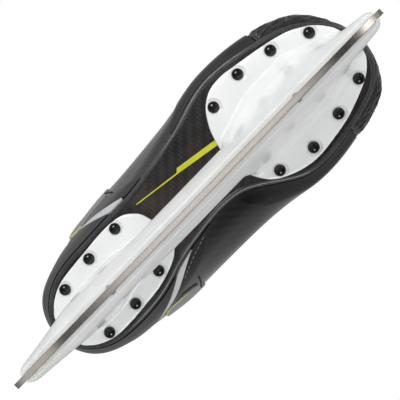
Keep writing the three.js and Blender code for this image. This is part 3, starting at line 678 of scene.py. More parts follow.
# Stations round the foot, from the back of the heel along the outer side to the toe and back along the
# inner side. Each climbs from the sole's edge to the top line in five points [x, y, height above sole].
WALL = np.array(
    [
        [[-126, -2, 4], [-130.7, -2.5, 20], [-129, -2.5, 56], [-118, -3, 104], [-121, -3.5, 156]],
        [[-118, -19.5, 4], [-122.6, -25.6, 20], [-120, -26.6, 56], [-111, -26, 104], [-113, -25, 154]],
        [[-98, -31, 4], [-100.5, -36.8, 20], [-98, -42.6, 56], [-94, -49, 102], [-95, -37.5, 150]],
        [[-62, -33.5, 4], [-62, -41, 20], [-64, -49, 54], [-66, -52.8, 98], [-68, -41, 148]],
        [[-25, -34.5, 4], [-25, -42, 19], [-28, -51, 50], [-36, -51, 96], [-41, -27, 158]],
        [[15, -40.5, 4], [15, -48.5, 18], [12, -52.6, 45], [2, -45, 82], [-8, -21, 114]],
        [[55, -49.5, 4], [55, -56, 17], [53, -53, 40], [44, -40, 66], [30, -19, 84]],
        [[96, -42.5, 4], [97, -51.5, 17], [94, -47, 37], [82, -32, 58], [58, -17, 70]],
        [[125, -28, 4], [129, -36, 17], [124, -32, 36], [106, -20, 55], [72, -11, 66]],
        [[140.5, 1, 4], [146, 0, 17], [140, -1, 36], [116, -3, 54], [77, -3.5, 65]],
        [[129, 26.5, 4], [133, 33, 17], [128, 28.6, 36], [108, 14, 55], [72, 4, 66]],
        [[98, 37, 4], [100, 45.2, 17], [97, 41, 37], [83, 25, 58], [58, 10, 70]],
        [[60, 38.6, 4], [60, 47.5, 17], [57, 45.4, 40], [45, 32.2, 66], [30, 12, 84]],
        [[20, 16, 4], [17, 33, 18], [13, 44.5, 45], [3, 36.8, 82], [-8, 14, 114]],
        [[-25, 17.5, 4], [-25, 31, 19], [-28, 44, 50], [-36, 43.5, 96], [-41, 20, 158]],
        [[-62, 26.5, 4], [-62, 35, 20], [-64, 43, 54], [-66, 46, 98], [-68, 34, 148]],
        [[-98, 26.5, 4], [-100.5, 32.3, 20], [-98, 37, 56], [-94, 38, 102], [-95, 30, 150]],
        [[-118, 16, 4], [-122.6, 20.6, 20], [-120, 21.8, 56], [-111, 20, 104], [-113, 18, 154]],
    ],
    float,
)
STATIONS, ROWS, _ = WALL.shape
TOP = ROWS - 1


def wall(u, v):
    """The outer wall at station u (round and round) and row v (0 sole to 4 top line)."""
    u, v = np.broadcast_arrays(np.asarray(u, float), np.asarray(v, float))
    station = np.floor(u).astype(int)
    row = np.clip(np.floor(v).astype(int), 0, TOP - 1)
    net = np.concatenate([2 * WALL[:, :1] - WALL[:, 1:2], WALL, 2 * WALL[:, -1:] - WALL[:, -2:-1]], 1)
    along = [
        catmull(
            *(net[(station + k) % STATIONS, row + 1 + r] for k in (-1, 0, 1, 2)),
            (u - station)[..., None],
        )
        for r in (-1, 0, 1, 2)
    ]
    point = catmull(*along, (v - row)[..., None])
    point[..., 2] += sole_z(point[..., 0])
    return point


def wall_normal(u, v):
    step = 0.02
    along = wall(u + step, v) - wall(u - step, v)
    up = wall(u, np.minimum(v + step, TOP)) - wall(u, np.maximum(v - step, 0))
    normal = np.cross(along, up)
    return normal / np.linalg.norm(normal, axis=-1, keepdims=True)


def off_wall(u, v, distance):
    u, v, distance = np.broadcast_arrays(u, v, distance)
    return wall(u, v) + wall_normal(u, v) * distance[..., None]


def cloth_on_wall(u, v):
    """Distances along and up the wall for each point of a grid of (u, v), in mm."""
    point = wall(u, v)
    along = np.zeros(u.shape)
    along[1:] = np.cumsum(np.linalg.norm(np.diff(point, axis=0), axis=-1), axis=0)
    along -= along[len(u) // 2][None]
    up = np.zeros(u.shape)
    up[:, 1:] = np.cumsum(np.linalg.norm(np.diff(point, axis=1), axis=-1), axis=1)
    return np.stack([along, up], -1)


def wall_sheet(name, material, us, low, high, rows, outer, inner, edge=0.6, crown=0.0):
    """A closed sheet over part of the wall. low, high: rows as functions of u; outer, inner: offsets as
    numbers or functions of (u, v). crown lifts the middle, and edge rounds the rim."""
    us = np.asarray(us, float)
    t = np.linspace(0, 1, rows + 1)
    lows = np.array([low(u) for u in us]) if callable(low) else np.full(len(us), float(low))
    highs = np.array([high(u) for u in us]) if callable(high) else np.full(len(us), float(high))
    v = lows[:, None] + (highs - lows)[:, None] * t
    u = np.repeat(us[:, None], rows + 1, 1)
    out = outer(u, v) if callable(outer) else np.full(u.shape, float(outer))
    inn = inner(u, v) if callable(inner) else np.full(u.shape, float(inner))
    if crown:
        across = 4 * t * (1 - t)
        out = out + crown * np.sqrt(across)[None]
    points = np.concatenate([off_wall(u, v, out).reshape(-1, 3), off_wall(u, v, inn).reshape(-1, 3)])
    cloth = cloth_on_wall(u, v).reshape(-1, 2)
    made = mesh_object(
        name, points, shell_faces(len(us), rows + 1), material, cloth=np.concatenate([cloth, cloth])
    )
    return bevel(made, edge) if edge else made


def span(a, b, step=0.09):
    return np.linspace(a, b, max(2, int(round(abs(b - a) / step)) + 1))


def mirrored(u):
    """The station on the inner side that faces one on the outer side."""
    return STATIONS - np.asarray(u, float)


def side_of(u):
    """How far a station is from the heel's middle, the same on both sides."""
    u = np.mod(u, STATIONS)
    return np.minimum(u, STATIONS - u)


def sides(name, us, build):
    """Calls build(prefixed name, stations) for the outer side and for the inner side."""
    return build("outer_" + name, us), build("inner_" + name, mirrored(us)[::-1])


# ---------- runner ----------


def rocker(x):
    past = np.maximum(0, np.abs(x) - 100) / (RUNNER_HALF_LENGTH - 100)
    return x * x / (2 * ROCKER_RADIUS) + 7 * past**2.2


def build_runner():
    """The blade, hollow-ground along its sole and lightly chamfered, with two studs on its top."""
    xs = np.linspace(-RUNNER_HALF_LENGTH, RUNNER_HALF_LENGTH, 400)
    top = np.interp(np.abs(xs), [0, 129, 140, 143], [RUNNER_TOP, RUNNER_TOP, 17.5, 12.5])
    ys = np.linspace(-RUNNER_HALF_WIDTH, RUNNER_HALF_WIDTH, 11)
    hollow = 0.03 * (1 - (ys / RUNNER_HALF_WIDTH) ** 2)
    rings = []
    for x, high in zip(xs, top):
        low = min(rocker(x), high - 2.2)
        ring = [(x, y, low + h) for y, h in zip(ys, hollow)]
        half = RUNNER_HALF_WIDTH
        ring += [(x, half, low + (high - low) * t) for t in (0.06, 0.3, 0.6, 0.9)]
        ring += [(x, half - 0.3, high), (x, -half + 0.3, high)]
        ring += [(x, -half, low + (high - low) * t) for t in (0.9, 0.6, 0.3, 0.06)]
        rings.append(ring)
    columns = len(rings[0])
    points = np.array(rings).reshape(-1, 3)
    blade = mesh_object("runner", points, tube_faces(len(xs), columns), LOOK["steel"], smooth=False)
    for x in STUD_X.values():
        boolean(blade, upright("stud", 2.5, RUNNER_TOP - 2, 46, x, 0), "UNION")
    blade.data.materials.clear()
    blade.data.materials.append(LOOK["steel"])
    blade.data.shade_smooth()
    blade.data.set_sharp_from_angle(angle=math.radians(28))
    place(blade, "runner", ["runner"], "steel")


def turned(name, profile, centre, axis, material=None, sides=48):
    """A solid of revolution: profile of (radius, height) along an axis from a centre, both closed."""
    axis = np.asarray(axis, float) / np.linalg.norm(axis)
    side = np.cross(axis, (0, 1, 0) if abs(axis[1]) < 0.9 else (1, 0, 0))
    side /= np.linalg.norm(side)
    other = np.cross(axis, side)
    angles = np.linspace(0, 2 * math.pi, sides, endpoint=False)
    ring = np.cos(angles)[:, None] * side + np.sin(angles)[:, None] * other
    points = [np.asarray(centre) + ring * max(r, 1e-4) + axis * h for r, h in profile]
    count = len(profile)
    closed = np.allclose(profile[0], profile[-1])
    if closed:
        points, count = points[:-1], count - 1
    if closed:
        faces = grid_faces(count, sides, closed_rows=True, closed_columns=True, flip=True)
    else:
        faces = tube_faces(count, sides)
    return mesh_object(name, np.concatenate(points), faces, material)


def upright(name, radius, low, high, x, y, sides=40):
    return turned(name, [(radius, low), (radius, high)], (x, y, 0), (0, 0, 1), sides=sides)


# ---------- holder ----------

NOSE_LENGTH = 5.5
NOSE_SPREAD = 30.0

# Plan rings of each post: height, rear, front, the half widths of the two ends, and the widest half
# width of the outer side, and of the inner side near the rear and near the front.
FRONT_POST = np.array(
    [
        [15, 20, 142, 4.6, 4.3, 4.9, 4.7, 4.7],
        [22, 20, 143.6, 7, 6.3, 8, 7.6, 7.4],
        [33, 24, 141, 10.5, 7, 13, 10.8, 10.8],
        [45, 30, 137, 14, 8.5, 18, 13.5, 13.5],
        [60, 32, 135.5, 16, 12, 25, 18, 18],
    ],
    float,
)
REAR_POST = np.array(
    [
        [15, -140, -20, 4.3, 4.6, 4.9, 4.7, 4.7],
        [22, -141.2, -20, 6, 7, 8, 8, 7.4],
        [33, -138, -24, 7, 10, 11.6, 10, 9],
        [47, -129, -29, 8, 9, 13.2, 11.5, 8.6],
        [68, -121, -31, 11, 9, 15.5, 13, 8.8],
    ],
    float,
)
FRONT_FLANGE = [
    [29, 0], [33, -18], [37.2, -28], [44, -37], [53, -42.3], [63.4, -43.3], [75, -41.5], [96, -37.4],
    [111, -33], [121.5, -27], [128, -21], [133, -13], [136, 0], [134.9, 10], [131.6, 15.4], [125, 21],
    [114, 26.1], [99.5, 31], [85, 33.6], [71, 35], [60, 33.6], [51, 30.5], [43, 26.2], [37, 20], [32, 10],
]
REAR_FLANGE = [
    [-28, 0], [-31.5, -17.4], [-35.5, -23.4], [-41.3, -27.6], [-50, -29.4], [-61, -29.6], [-75, -28.6],
    [-89, -27.5], [-100, -25.9], [-109.5, -21.6], [-115.2, -16.8], [-119, -11.5], [-121, 0],
    [-118.5, 10.8], [-115.2, 14.8], [-111, 18.3], [-104, 21.5], [-96.5, 23.2], [-84, 23.3], [-70, 22.2],
    [-58.7, 21.1], [-48.6, 18.7], [-40.4, 15.7], [-35.5, 12.8], [-31, 8],
]
RIVETS = {
    "front_outer": [[120.2, -22.6], [96.2, -32.2], [71.9, -36.6], [47.2, -33.2]],
    "front_inner": [[121.2, 18.8], [97.7, 25], [72.4, 28.6], [47.9, 23.6]],
    "rear_outer": [[-50.1, -25], [-75.3, -23.6], [-100.1, -20.9]],
    "rear_inner": [[-49.8, 13.2], [-75, 17.3], [-99.8, 18.3]],
}
STUD_X = {"front": 78, "rear": -70}
SHELF_TOP = 36


def flange_under(x):
    return sole_z(x) - GAP - FLANGE


def post_half_width(distance, nose, widest):
    rounded = np.clip(distance / NOSE_LENGTH, 0, 1)
    spread = np.clip((distance - NOSE_LENGTH) / NOSE_SPREAD, 0, 1)
    return nose * np.sqrt(rounded * (2 - rounded)) + (widest - nose) * spread


def post_ring(rear, front, rear_nose, front_nose, outer, inner_rear, inner_front, height):
    steps = np.array([0.05, 0.4, 1.2, 2.4, 4, 5.5, 8, 11, 15, 20, 26, 31, NOSE_LENGTH + NOSE_SPREAD])
    outside = [(rear + d, -post_half_width(d, rear_nose, outer)) for d in steps]
    outside += [(front - d, -post_half_width(d, front_nose, outer)) for d in steps[::-1]]
    inside = [(front - d, post_half_width(d, front_nose, inner_front)) for d in steps]
    inside += [(rear + d, post_half_width(d, rear_nose, inner_rear)) for d in steps[::-1]]
    return [(x, y, height(x)) for x, y in outside + inside]


def build_post(name, rings):
    """A post lofted through smoothly interpolated rings, ending inside its flange."""
    fine = through(rings, np.linspace(0, 1, 25))
    solid = []
    for z, *plan in fine:
        share = smoothstep(z, 45, fine[-1][0])
        solid.append(post_ring(*plan, lambda x: z + share * (flange_under(x) + 1 - fine[-1][0])))
    return mesh_object(name, np.array(solid).reshape(-1, 3), tube_faces(len(solid), len(solid[0])))


def plate(name, outline, low, high, material=None):
    """A flat plate from a plan outline, between two heights given as functions of x."""
    n = len(outline)
    points = [(x, y, low(x)) for x, y in outline] + [(x, y, high(x)) for x, y in outline]
    faces = [(i, (i + 1) % n, n + (i + 1) % n, n + i) for i in range(n)]
    faces += [tuple(reversed(range(n))), tuple(range(n, 2 * n))]
    return mesh_object(name, points, faces, material, smooth=False)


def flange_plate(name, points):
    outline = through(points, np.linspace(0, 1, 160, endpoint=False), closed=True)
    if np.sum(np.roll(outline[:, 0], -1) * outline[:, 1] - outline[:, 0] * np.roll(outline[:, 1], -1)) > 0:
        outline = outline[::-1]
    return plate(name, outline, flange_under, lambda x: sole_z(x) - GAP)


def build_bridge():
    """The rails and the bridge: a V that widens upwards, the same all along."""
    section = [(-4.9, 15), (4.7, 15), (6.0, 19), (7.3, 23), (9.0, 29), (10.0, 33), (9.4, 34.4)]
    section += [(-10.6, 34.4), (-11.3, 33), (-10.2, 29), (-8.2, 23), (-6.5, 19)]
    xs = np.linspace(-55, 55, 3)
    points = [(x, y, z) for x in xs for y, z in section]
    return mesh_object("bridge", points, tube_faces(len(xs), len(section)))


def rivet_seat(x, y):
    """The tool that spot-faces the flange under a rivet's head."""
    under = flange_under(x)
    profile = [(5.6, -9), (5.3, -0.5), (5.1, 0.3), (4.8, 0.45)]
    return turned("seat", [(r, under + h) for r, h in profile], (x, y, 0), (0, 0, 1))


def build_holder():
    """One moulding: its parts are fused, softened where they meet, then slotted and spot-faced."""
    parts = [
        build_bridge(),
        build_post("front_post", FRONT_POST),
        build_post("rear_post", REAR_POST),
        flange_plate("front_flange", FRONT_FLANGE),
        flange_plate("rear_flange", REAR_FLANGE),
    ]
    holder = joined("holder", parts)
    fuse = holder.modifiers.new("fuse", "REMESH")
    fuse.mode = "VOXEL"
    fuse.voxel_size = 0.75 * MM
    soften = holder.modifiers.new("soften", "SMOOTH")
    soften.factor = 0.5
    soften.iterations = 7
    apply_modifiers(holder)
    slot_half = RUNNER_HALF_WIDTH + 0.22
    slot = plate(
        "slot",
        [(-160, -slot_half), (160, -slot_half), (160, slot_half), (-160, slot_half)],
        lambda x: 5,
        lambda x: RUNNER_TOP + GAP,
    )
    boolean(holder, slot)
    boolean(holder, joined("pockets", [upright("pocket", 8, SHELF_TOP, 80, x, 0) for x in STUD_X.values()]))
    boolean(holder, joined("bores", [upright("bore", 2.85, 15, 60, x, 0) for x in STUD_X.values()]))
    boolean(holder, joined("seats", [rivet_seat(x, y) for row in RIVETS.values() for x, y in row]))
    holder.data.materials.clear()
    holder.data.materials.append(LOOK["holder"])
    holder.data.shade_smooth()
    holder.data.set_sharp_from_angle(angle=math.radians(40))
    place(holder, "boot", ["holder"], "holder")


def build_rivets():
    """Domed heads with a thin rim, on shanks that end in the insole board's clinched washers."""
    t = np.linspace(0, 1, 12)
    dome = [
        (max(0.02, RIVET_RADIUS * math.sin(a)), -RIVET_HEIGHT * math.cos(a))
        for a in t * math.radians(84)
    ]
    under = -(GAP + FLANGE) + 0.35
    over = OUTSOLE + 2 * GAP + BOARD
    for row, places in RIVETS.items():
        for k, (x, y) in enumerate(places):
            profile = [(r, under + h) for r, h in dome]
            profile += [(RIVET_RADIUS, under - 0.05), (2, under), (2, over)]
            profile += [(3.4, over), (2.6, over + 1), (0.02, over + 1)]
            name = f"{row}_rivet_{k + 1}"
            rivet = turned(name, profile, (x, y, sole_z(x)), (SOLE_PITCH, 0, 1), LOOK["rivet"])
            rivet.data.set_sharp_from_angle(angle=math.radians(40))
            place(rivet, "boot", [name], "rivet")


# ---------- soles ----------


def sole_outline(inset=0.0, count=360):
    """The sole's edge in plan, moved inwards, anticlockwise from above."""
    u = np.linspace(0, STATIONS, count, endpoint=False)
    edge = wall(u, 0)[:, :2]
    along = np.roll(edge, -1, 0) - np.roll(edge, 1, 0)
    along /= np.linalg.norm(along, axis=1, keepdims=True)
    return edge + inset * np.stack([-along[:, 1], along[:, 0]], 1)


def ringed_plate(name, rings, material, count=360, hollow=False):
    """A loft through (inset, height above sole) rings: a plate with flat ends, or a hollow rim."""
    plans = [sole_outline(inset, count) for inset, _ in rings]
    loops = [np.column_stack([plan, sole_z(plan[:, 0]) + high]) for plan, (_, high) in zip(plans, rings)]
    if hollow:
        faces = grid_faces(len(loops), count, closed_rows=True, closed_columns=True, flip=True)
    else:
        faces = tube_faces(len(loops), count)
    return mesh_object(name, np.concatenate(loops), faces, material, cloth=np.concatenate(plans))


def build_outsole():
    """The carbon plate and its moulded rim."""
    sole = ringed_plate("outsole", [(4.4, 0.35), (3.4, 0.5), (3.2, 3.2), (5.2, 3.5)], LOOK["sole"])
    sole.data.set_sharp_from_angle(angle=math.radians(35))
    place(sole, "boot", ["outsole"], "outsole")
    section = [(3.35, 0.9), (3.25, 0.3), (2.95, 0.0), (2.0, -0.15), (0.9, 0.0)]
    section += [(0.3, 0.45), (-0.05, 1.3), (0.0, 2.6), (0.5, 3.4), (3.2, 3.4)]
    rim = ringed_plate("outsole_rim", section, LOOK["rim"], hollow=True)
    place(rim, "boot", slot="outsole")


def build_sole_stripe():
    """The accent stripe: a hairline that steps out into a band towards the front flange."""
    outline = [(-30, -26.3), (2, -21.6), (4.2, -23.6), (36, -18.2), (36, -14.6), (2.6, -20.6), (-30, -25.7)]
    low, high = (lambda x: sole_z(x) + 0.22), (lambda x: sole_z(x) + 0.6)
    stripe = plate("sole_stripe", outline, low, high, LOOK["yellow"])
    place(stripe, "boot", slot="outsole")


def build_footbed():
    """A thin foam footbed with a raised heel cup and arch, in a woven cover."""
    floor = OUTSOLE + GAP + BOARD + GAP + WASHER
    section = [(12, 0), (11, 0.2), (10.6, 1.2), (10.7, 3.2), (11.6, 4.2)]
    section += [(14, 4.5), (18, 4.0), (23, 3.3), (28, 2.9)]
    rings = [(inset, floor + height) for inset, height in section]
    footbed = ringed_plate("footbed", rings, LOOK["footbed"], 240)
    place(footbed, "boot", ["footbed"], "footbed")


# ---------- boot ----------

TOE_CAP = (7.0, 11.0)


def facing_floor(u):
    s = side_of(u)
    return np.where(s < 5, 3.75 - 0.13 * np.maximum(0, s - 4), np.maximum(3.45, 3.62 - 0.15 * (s - 5)))


def quarter_top(u):
    return float(np.where(side_of(u) < 3.95, 4.0, facing_floor(u) - 0.02))


def build_quarters():
    def build(name, us):
        made = wall_sheet(name, LOOK["carbon"], us, 0.0, quarter_top, 60, 0.0, -SHELL, 0.5)
        return place(made, "boot", [name], "carbon")

    sides("quarter", np.r_[span(0.006, 3.93), span(3.965, 6.985)], build)


def value_noise(x, y, seed):
    """Smooth noise between 0 and 1 over the plane, the same in every run."""
    table = np.random.default_rng(seed).random((64, 64))
    i, j = np.floor(x).astype(int), np.floor(y).astype(int)
    a, b = x - i, y - j
    a, b = a * a * (3 - 2 * a), b * b * (3 - 2 * b)
    corner = lambda di, dj: table[(i + di) % 64, (j + dj) % 64]
    low = corner(0, 0) * (1 - a) + corner(1, 0) * a
    high = corner(0, 1) * (1 - a) + corner(1, 1) * a
    return low * (1 - b) + high * b


def toe_relief(u, v):
    """Creased ridges that run back from the toe at a slant, deepest low on the sides, in mm."""
    along, up = np.moveaxis(cloth_on_wall(u, v), -1, 0)
    slant = up + 0.38 * np.abs(along)
    wander = 2.2 * value_noise(along / 9, up / 9, 3)
    ridges = 1 - 2 * np.abs(value_noise(along / 9.5, slant / 1.7 + wander, 5) - 0.5)
    ridges += 0.6 * (1 - 2 * np.abs(value_noise(along / 5, slant / 0.95 + wander, 7) - 0.5))
    tip = 1 - np.exp(-(((u - 9) / 0.75) ** 2))
    rim = smoothstep(v, 0.1, 0.35) * smoothstep(u, TOE_CAP[0] + 0.02, TOE_CAP[0] + 0.12)
    rim *= 1 - smoothstep(u, TOE_CAP[1] - 0.12, TOE_CAP[1] - 0.02)
    depth = 1.25 * rim * (0.25 + 0.75 * tip) * (1 - 0.6 * smoothstep(v, 1.8, 3.2))
    return -0.35 - 0.25 * rim + ridges * depth


def build_toe_cap():
    us = span(TOE_CAP[0] + 0.012, TOE_CAP[1] - 0.012, 0.018)
    cap = wall_sheet("toe_cap", LOOK["toe_cap"], us, 0.0, 4.0, 170, toe_relief, -SHELL, 0.5)
    place(cap, "boot", ["toe_cap"], "toe_cap")
    face, back = -SHELL - 0.8, -SHELL - 3
    lining = wall_sheet("toe_lining", LOOK["liner"], span(7.1, 10.9), 0.2, 3.96, 24, face, back, 0.6)
    place(lining, "boot", ["toe_lining"], "liner")


def curve(pairs):
    """A smooth function through (station, row) pairs, which are in order of station."""
    xs, ys = np.array(pairs, float).T
    slopes = np.gradient(ys, xs)

    def value(x):
        x = np.clip(x, xs[0], xs[-1])
        k = np.clip(np.searchsorted(xs, x) - 1, 0, len(xs) - 2)
        step = xs[k + 1] - xs[k]
        t = (x - xs[k]) / step
        a, b = slopes[k] * step, slopes[k + 1] * step
        rise = ys[k + 1] - ys[k]
        return float(ys[k] + t * (a + t * (3 * rise - 2 * a - b + t * (a + b - 2 * rise))))

    return value


def ribbon(name, material, path, width, height, lift=0.1, side="outer", spacing=1.0, taper=0.0):
    """A rounded strip laid on the wall along (station, row) points, width and height in mm."""
    path = np.array(path, float)
    if side == "inner":
        path[:, 0] = mirrored(path[:, 0])
    fine = through(path, np.linspace(0, 1, 40 * len(path)))
    line = wall(fine[:, 0], fine[:, 1])
    lengths = np.r_[0, np.cumsum(np.linalg.norm(np.diff(line, axis=0), axis=1))]
    wanted = np.linspace(0, lengths[-1], max(4, int(lengths[-1] / spacing)))
    u, v = (np.interp(wanted, lengths, fine[:, k]) for k in (0, 1))
    base, normal = off_wall(u, v, lift), wall_normal(u, v)
    tangent = np.gradient(base, axis=0)
    across = np.cross(normal, tangent)
    across /= np.linalg.norm(across, axis=1, keepdims=True)
    tapers = [0, taper + 1e-6, lengths[-1] - taper - 1e-6, lengths[-1]]
    share = np.interp(wanted, tapers, [0.15, 1, 1, 0.15])
    half = width / 2 * (share if taper else np.ones_like(share))
    section = [(-1, 0), (-1, 0.55), (-0.8, 0.9), (-0.4, 1), (0.4, 1), (0.8, 0.9), (1, 0.55), (1, 0)]
    rings = np.stack([base + across * (half * a)[:, None] + normal * (height * h) for a, h in section], 1)
    n = len(section)
    faces = tube_faces(len(rings), n, flip=False)
    cloth = np.stack([np.repeat(wanted, n), np.tile([a * width / 2 for a, _ in section], len(rings))], -1)
    return mesh_object(name, rings.reshape(-1, 3), faces, material, cloth=cloth)


def stitches(name, path, side, pitch=3.6, length=2.3, lift=0.15):
    """A row of sewn stitches along (station, row) points on the wall, as one object."""
    path = np.array(path, float)
    if side == "inner":
        path[:, 0] = mirrored(path[:, 0])
    fine = through(path, np.linspace(0, 1, 60 * len(path)))
    line = wall(fine[:, 0], fine[:, 1])
    lengths = np.r_[0, np.cumsum(np.linalg.norm(np.diff(line, axis=0), axis=1))]
    points, faces, cloth = [], [], []
    around = np.linspace(0, 2 * math.pi, 8, endpoint=False)
    for start in np.arange(0.5, lengths[-1] - length, pitch):
        at = np.linspace(start, start + length, 6)
        u, v = (np.interp(at, lengths, fine[:, k]) for k in (0, 1))
        arch = np.sin(np.linspace(0, math.pi, 6)) ** 0.5
        base, normal = off_wall(u, v, lift + 0.25 * arch), wall_normal(u, v)
        tangent = np.gradient(base, axis=0)
        tangent /= np.linalg.norm(tangent, axis=1, keepdims=True)
        across = np.cross(normal, tangent)
        first = len(points)
        for b, n, w, d in zip(base, normal, across, at):
            points += [b + 0.38 * (w * math.cos(a) + n * 0.8 * math.sin(a)) for a in around]
            cloth += [(d, 0.38 * a) for a in around]
        faces += tube_faces(6, 8, start=first, flip=False)
    return mesh_object(name, points, faces, LOOK["thread"], cloth=np.array(cloth))


BANDS = {
    "outer": {"tip": 2.72, "row": 1.34, "rear": (3.45, 1.0), "front": (3.82, 0.7)},
    "inner": {"tip": 2.6, "row": 1.22, "rear": (3.62, 1.4), "front": (4.02, 1.03)},
}
COUNTER_HEIGHT = 1.75


def band_edge(band, edge, s):
    end, bow = band[edge]
    return band["row"] * max(0.0, 1 - (s - band["tip"]) / (end - band["tip"])) ** bow


def counter_top(u):
    band = BANDS["outer" if u > 0 else "inner"]
    s = abs(u)
    if s > band["tip"]:
        return band_edge(band, "rear", s) - 0.03
    return COUNTER_HEIGHT - (COUNTER_HEIGHT - band["row"]) * (s / band["tip"]) ** 1.2 - 0.03


def build_counter():
    us = span(-3.42, 3.38, 0.07)
    made = wall_sheet("heel_counter", LOOK["counter"], us, 0.04, counter_top, 24, 1.3, 0.3, 0.5)
    place(made, "boot", ["heel_counter"], "counter")


# The rear and upper edge of the smooth band over the ball of the foot, and the edge of the raised sweep in
# front of the silver band, as (station, row).
BALL_EDGE = {
    "outer": [
        (5.04, 0.03), (5.1, 0.3), (5.28, 0.62), (5.45, 1.0), (5.62, 1.36), (6.0, 1.5), (6.5, 1.3),
        (7.0, 1.15),
    ],
    "inner": [
        (4.94, 0.03), (5.0, 0.4), (5.1, 0.6), (5.25, 0.82), (5.45, 0.95), (5.75, 0.9), (6.0, 0.76),
        (6.5, 0.64), (7.0, 0.6),
    ],
}
SWEEP_EDGE = {
    "outer": [(2.95, 1.4), (3.2, 1.45), (3.5, 1.38), (3.7, 1.2), (3.9, 0.88), (4.1, 0.42), (4.22, 0.08)],
    "inner": [(3.0, 1.04), (3.3, 1.02), (3.6, 0.98), (3.9, 0.8), (4.1, 0.52), (4.3, 0.22), (4.42, 0.08)],
}
PANEL_FOOT = {
    "outer": [(2.3, 2.55), (2.45, 1.9), (2.66, 1.42), (3.0, 1.46), (3.3, 1.47), (3.6, 1.52)],
    "inner": [(2.66, 2.1), (2.74, 1.45), (2.85, 1.16), (3.1, 1.2), (3.35, 1.36), (3.6, 1.6)],
}


# The first and last station of the pale piping on the foot of each ankle panel, and its width.
PIPING = {"outer": ((2.36, 2.82), 2.6), "inner": ((2.72, 3.3), 0.9)}


def mirror_for(side, us):
    return us if side == "outer" else mirrored(us)[::-1]


def build_silver_band(side, band):
    us = mirror_for(side, span(band["tip"] + 0.03, band["front"][0] - 0.06, 0.04))
    low = lambda u: max(0.05, band_edge(band, "rear", float(side_of(u))) + 0.02)
    high = lambda u: max(low(u) + 0.015, band_edge(band, "front", float(side_of(u))))
    made = wall_sheet(f"{side}_silver_band", LOOK["silver"], us, low, high, 8, 1.35, 0.1, 0.3)
    place(made, "boot", [f"{side}_silver_band"], "silver")


def build_sweep(side, band):
    """The raised black sweep in front of the silver band, with stitching inside its edge on the inner side.
    """
    edge = curve(SWEEP_EDGE[side])
    first, last = SWEEP_EDGE[side][0][0], SWEEP_EDGE[side][-1][0]
    us = mirror_for(side, span(first, last, 0.05))

    def low(u):
        s = float(side_of(u))
        front = band_edge(band, "front", s) if s < band["front"][0] else 0.0
        return max(0.03, front + 0.02)

    high = lambda u: max(low(u) + 0.02, edge(float(side_of(u))))
    sweep = wall_sheet(f"{side}_sweep", LOOK["sweep"], us, low, high, 12, 1.1, 0.1, 0.5)
    place(sweep, "boot", slot="carbon")
    if side == "inner":
        seam = [(4.24, 0.12), (4.1, 0.2), (3.92, 0.31), (3.7, 0.44), (3.45, 0.58)]
        place(stitches("inner_sweep_stitches", seam, side, lift=1.05), "boot", slot="carbon")


def build_ball_band(side):
    edge = curve(BALL_EDGE[side])
    us = mirror_for(side, span(BALL_EDGE[side][0][0] + 0.01, 6.975, 0.05))
    high = lambda u: max(0.06, edge(float(side_of(u))))
    made = wall_sheet(f"{side}_ball_band", LOOK["band"], us, 0.02, high, 16, 0.75, 0.05, 0.35)
    place(made, "boot", slot="carbon")


def build_ankle_panel(side):
    """The grey moulded ankle panel, its pale piping and the black rib in front of it."""
    foot = curve(PANEL_FOOT[side])
    first, last = PANEL_FOOT[side][0][0], PANEL_FOOT[side][-1][0]
    start = (first, foot(first) + 0.06)
    head = curve([start, (first + 0.12, 2.75), (first + 0.4, 3.06), (3.2, 3.2), (last, 3.1)])
    us = mirror_for(side, span(first, last - 0.04, 0.04))
    low = lambda u: foot(float(side_of(u)))
    high = lambda u: head(float(side_of(u)))
    panel = wall_sheet(f"{side}_ankle_panel", LOOK["ankle"], us, low, high, 24, 1.3, 0.1, 0.6)
    place(panel, "boot", slot="counter")
    ends, width = PIPING[side]
    edge = [(s, foot(s) + 0.03) for s in np.linspace(*ends, 9)]
    piping = ribbon(f"{side}_ankle_piping", LOOK["piping"], edge, width, 1.72, side=side, taper=5)
    place(piping, "boot", slot="counter")
    front = [(3.68, 1.38), (3.65, 1.7), (3.63, 2.1), (3.63, 2.5), (3.68, 2.95), (3.78, 3.4)]
    rib = ribbon(f"{side}_collar_rib", LOOK["rib"], front, 4.2, 1.2, side=side, taper=26)
    place(rib, "boot", slot="counter")


def build_overlays():
    for side, band in BANDS.items():
        build_silver_band(side, band)
        build_sweep(side, band)
        build_ball_band(side)
        build_ankle_panel(side)


# ---------- eyelets, facings and lace ----------


def eyelet_frames(inner):
    """Where each eyelet sits, from the top down, and its directions: out, to the throat and upwards."""
    start, end = 4.13, 6.83
    us = np.linspace(start, end, 121)
    if inner:
        us = mirrored(us)
    points = wall(us, EYELET_V)
    lengths = np.r_[0, np.cumsum(np.linalg.norm(np.diff(points, axis=0), axis=1))]
    along = points[0] - points[-1]
    along /= np.linalg.norm(along)
    frames = []
    for e in range(EYELETS_PER_SIDE):
        wanted = lengths[-1] * e / (EYELETS_PER_SIDE - 1)
        k = int(np.searchsorted(lengths, wanted - 1e-6))
        u = us[k]
        inward = wall(u, EYELET_V + 0.02) - wall(u, EYELET_V - 0.02)
        frames.append(
            {
                "centre": wall(u, EYELET_V),
                "normal": wall_normal(u, EYELET_V),
                "inward": inward / np.linalg.norm(inward),
                "along": along,
                "edge": np.linalg.norm(wall(u, TOP) - wall(u, EYELET_V)),
            }
        )
    return frames


EYELETS = {"outer": eyelet_frames(False), "inner": eyelet_frames(True)}


def build_facings():
    def build(name, us):
        low = lambda u: float(facing_floor(u))
        strip = wall_sheet(name, LOOK["facing"], us, low, 4.0, 8, 0.55, -FACING + 0.5, 0.8)
        for e in EYELETS[name.split("_")[0]]:
            boolean(strip, turned("hole", [(2.9, -7), (2.9, 7)], e["centre"], e["normal"], sides=32))
        strip.data.materials.clear()
        strip.data.materials.append(LOOK["facing"])
        return place(strip, "boot", [name], "facing")

    sides("facing", span(3.975, 6.97, 0.06), build)


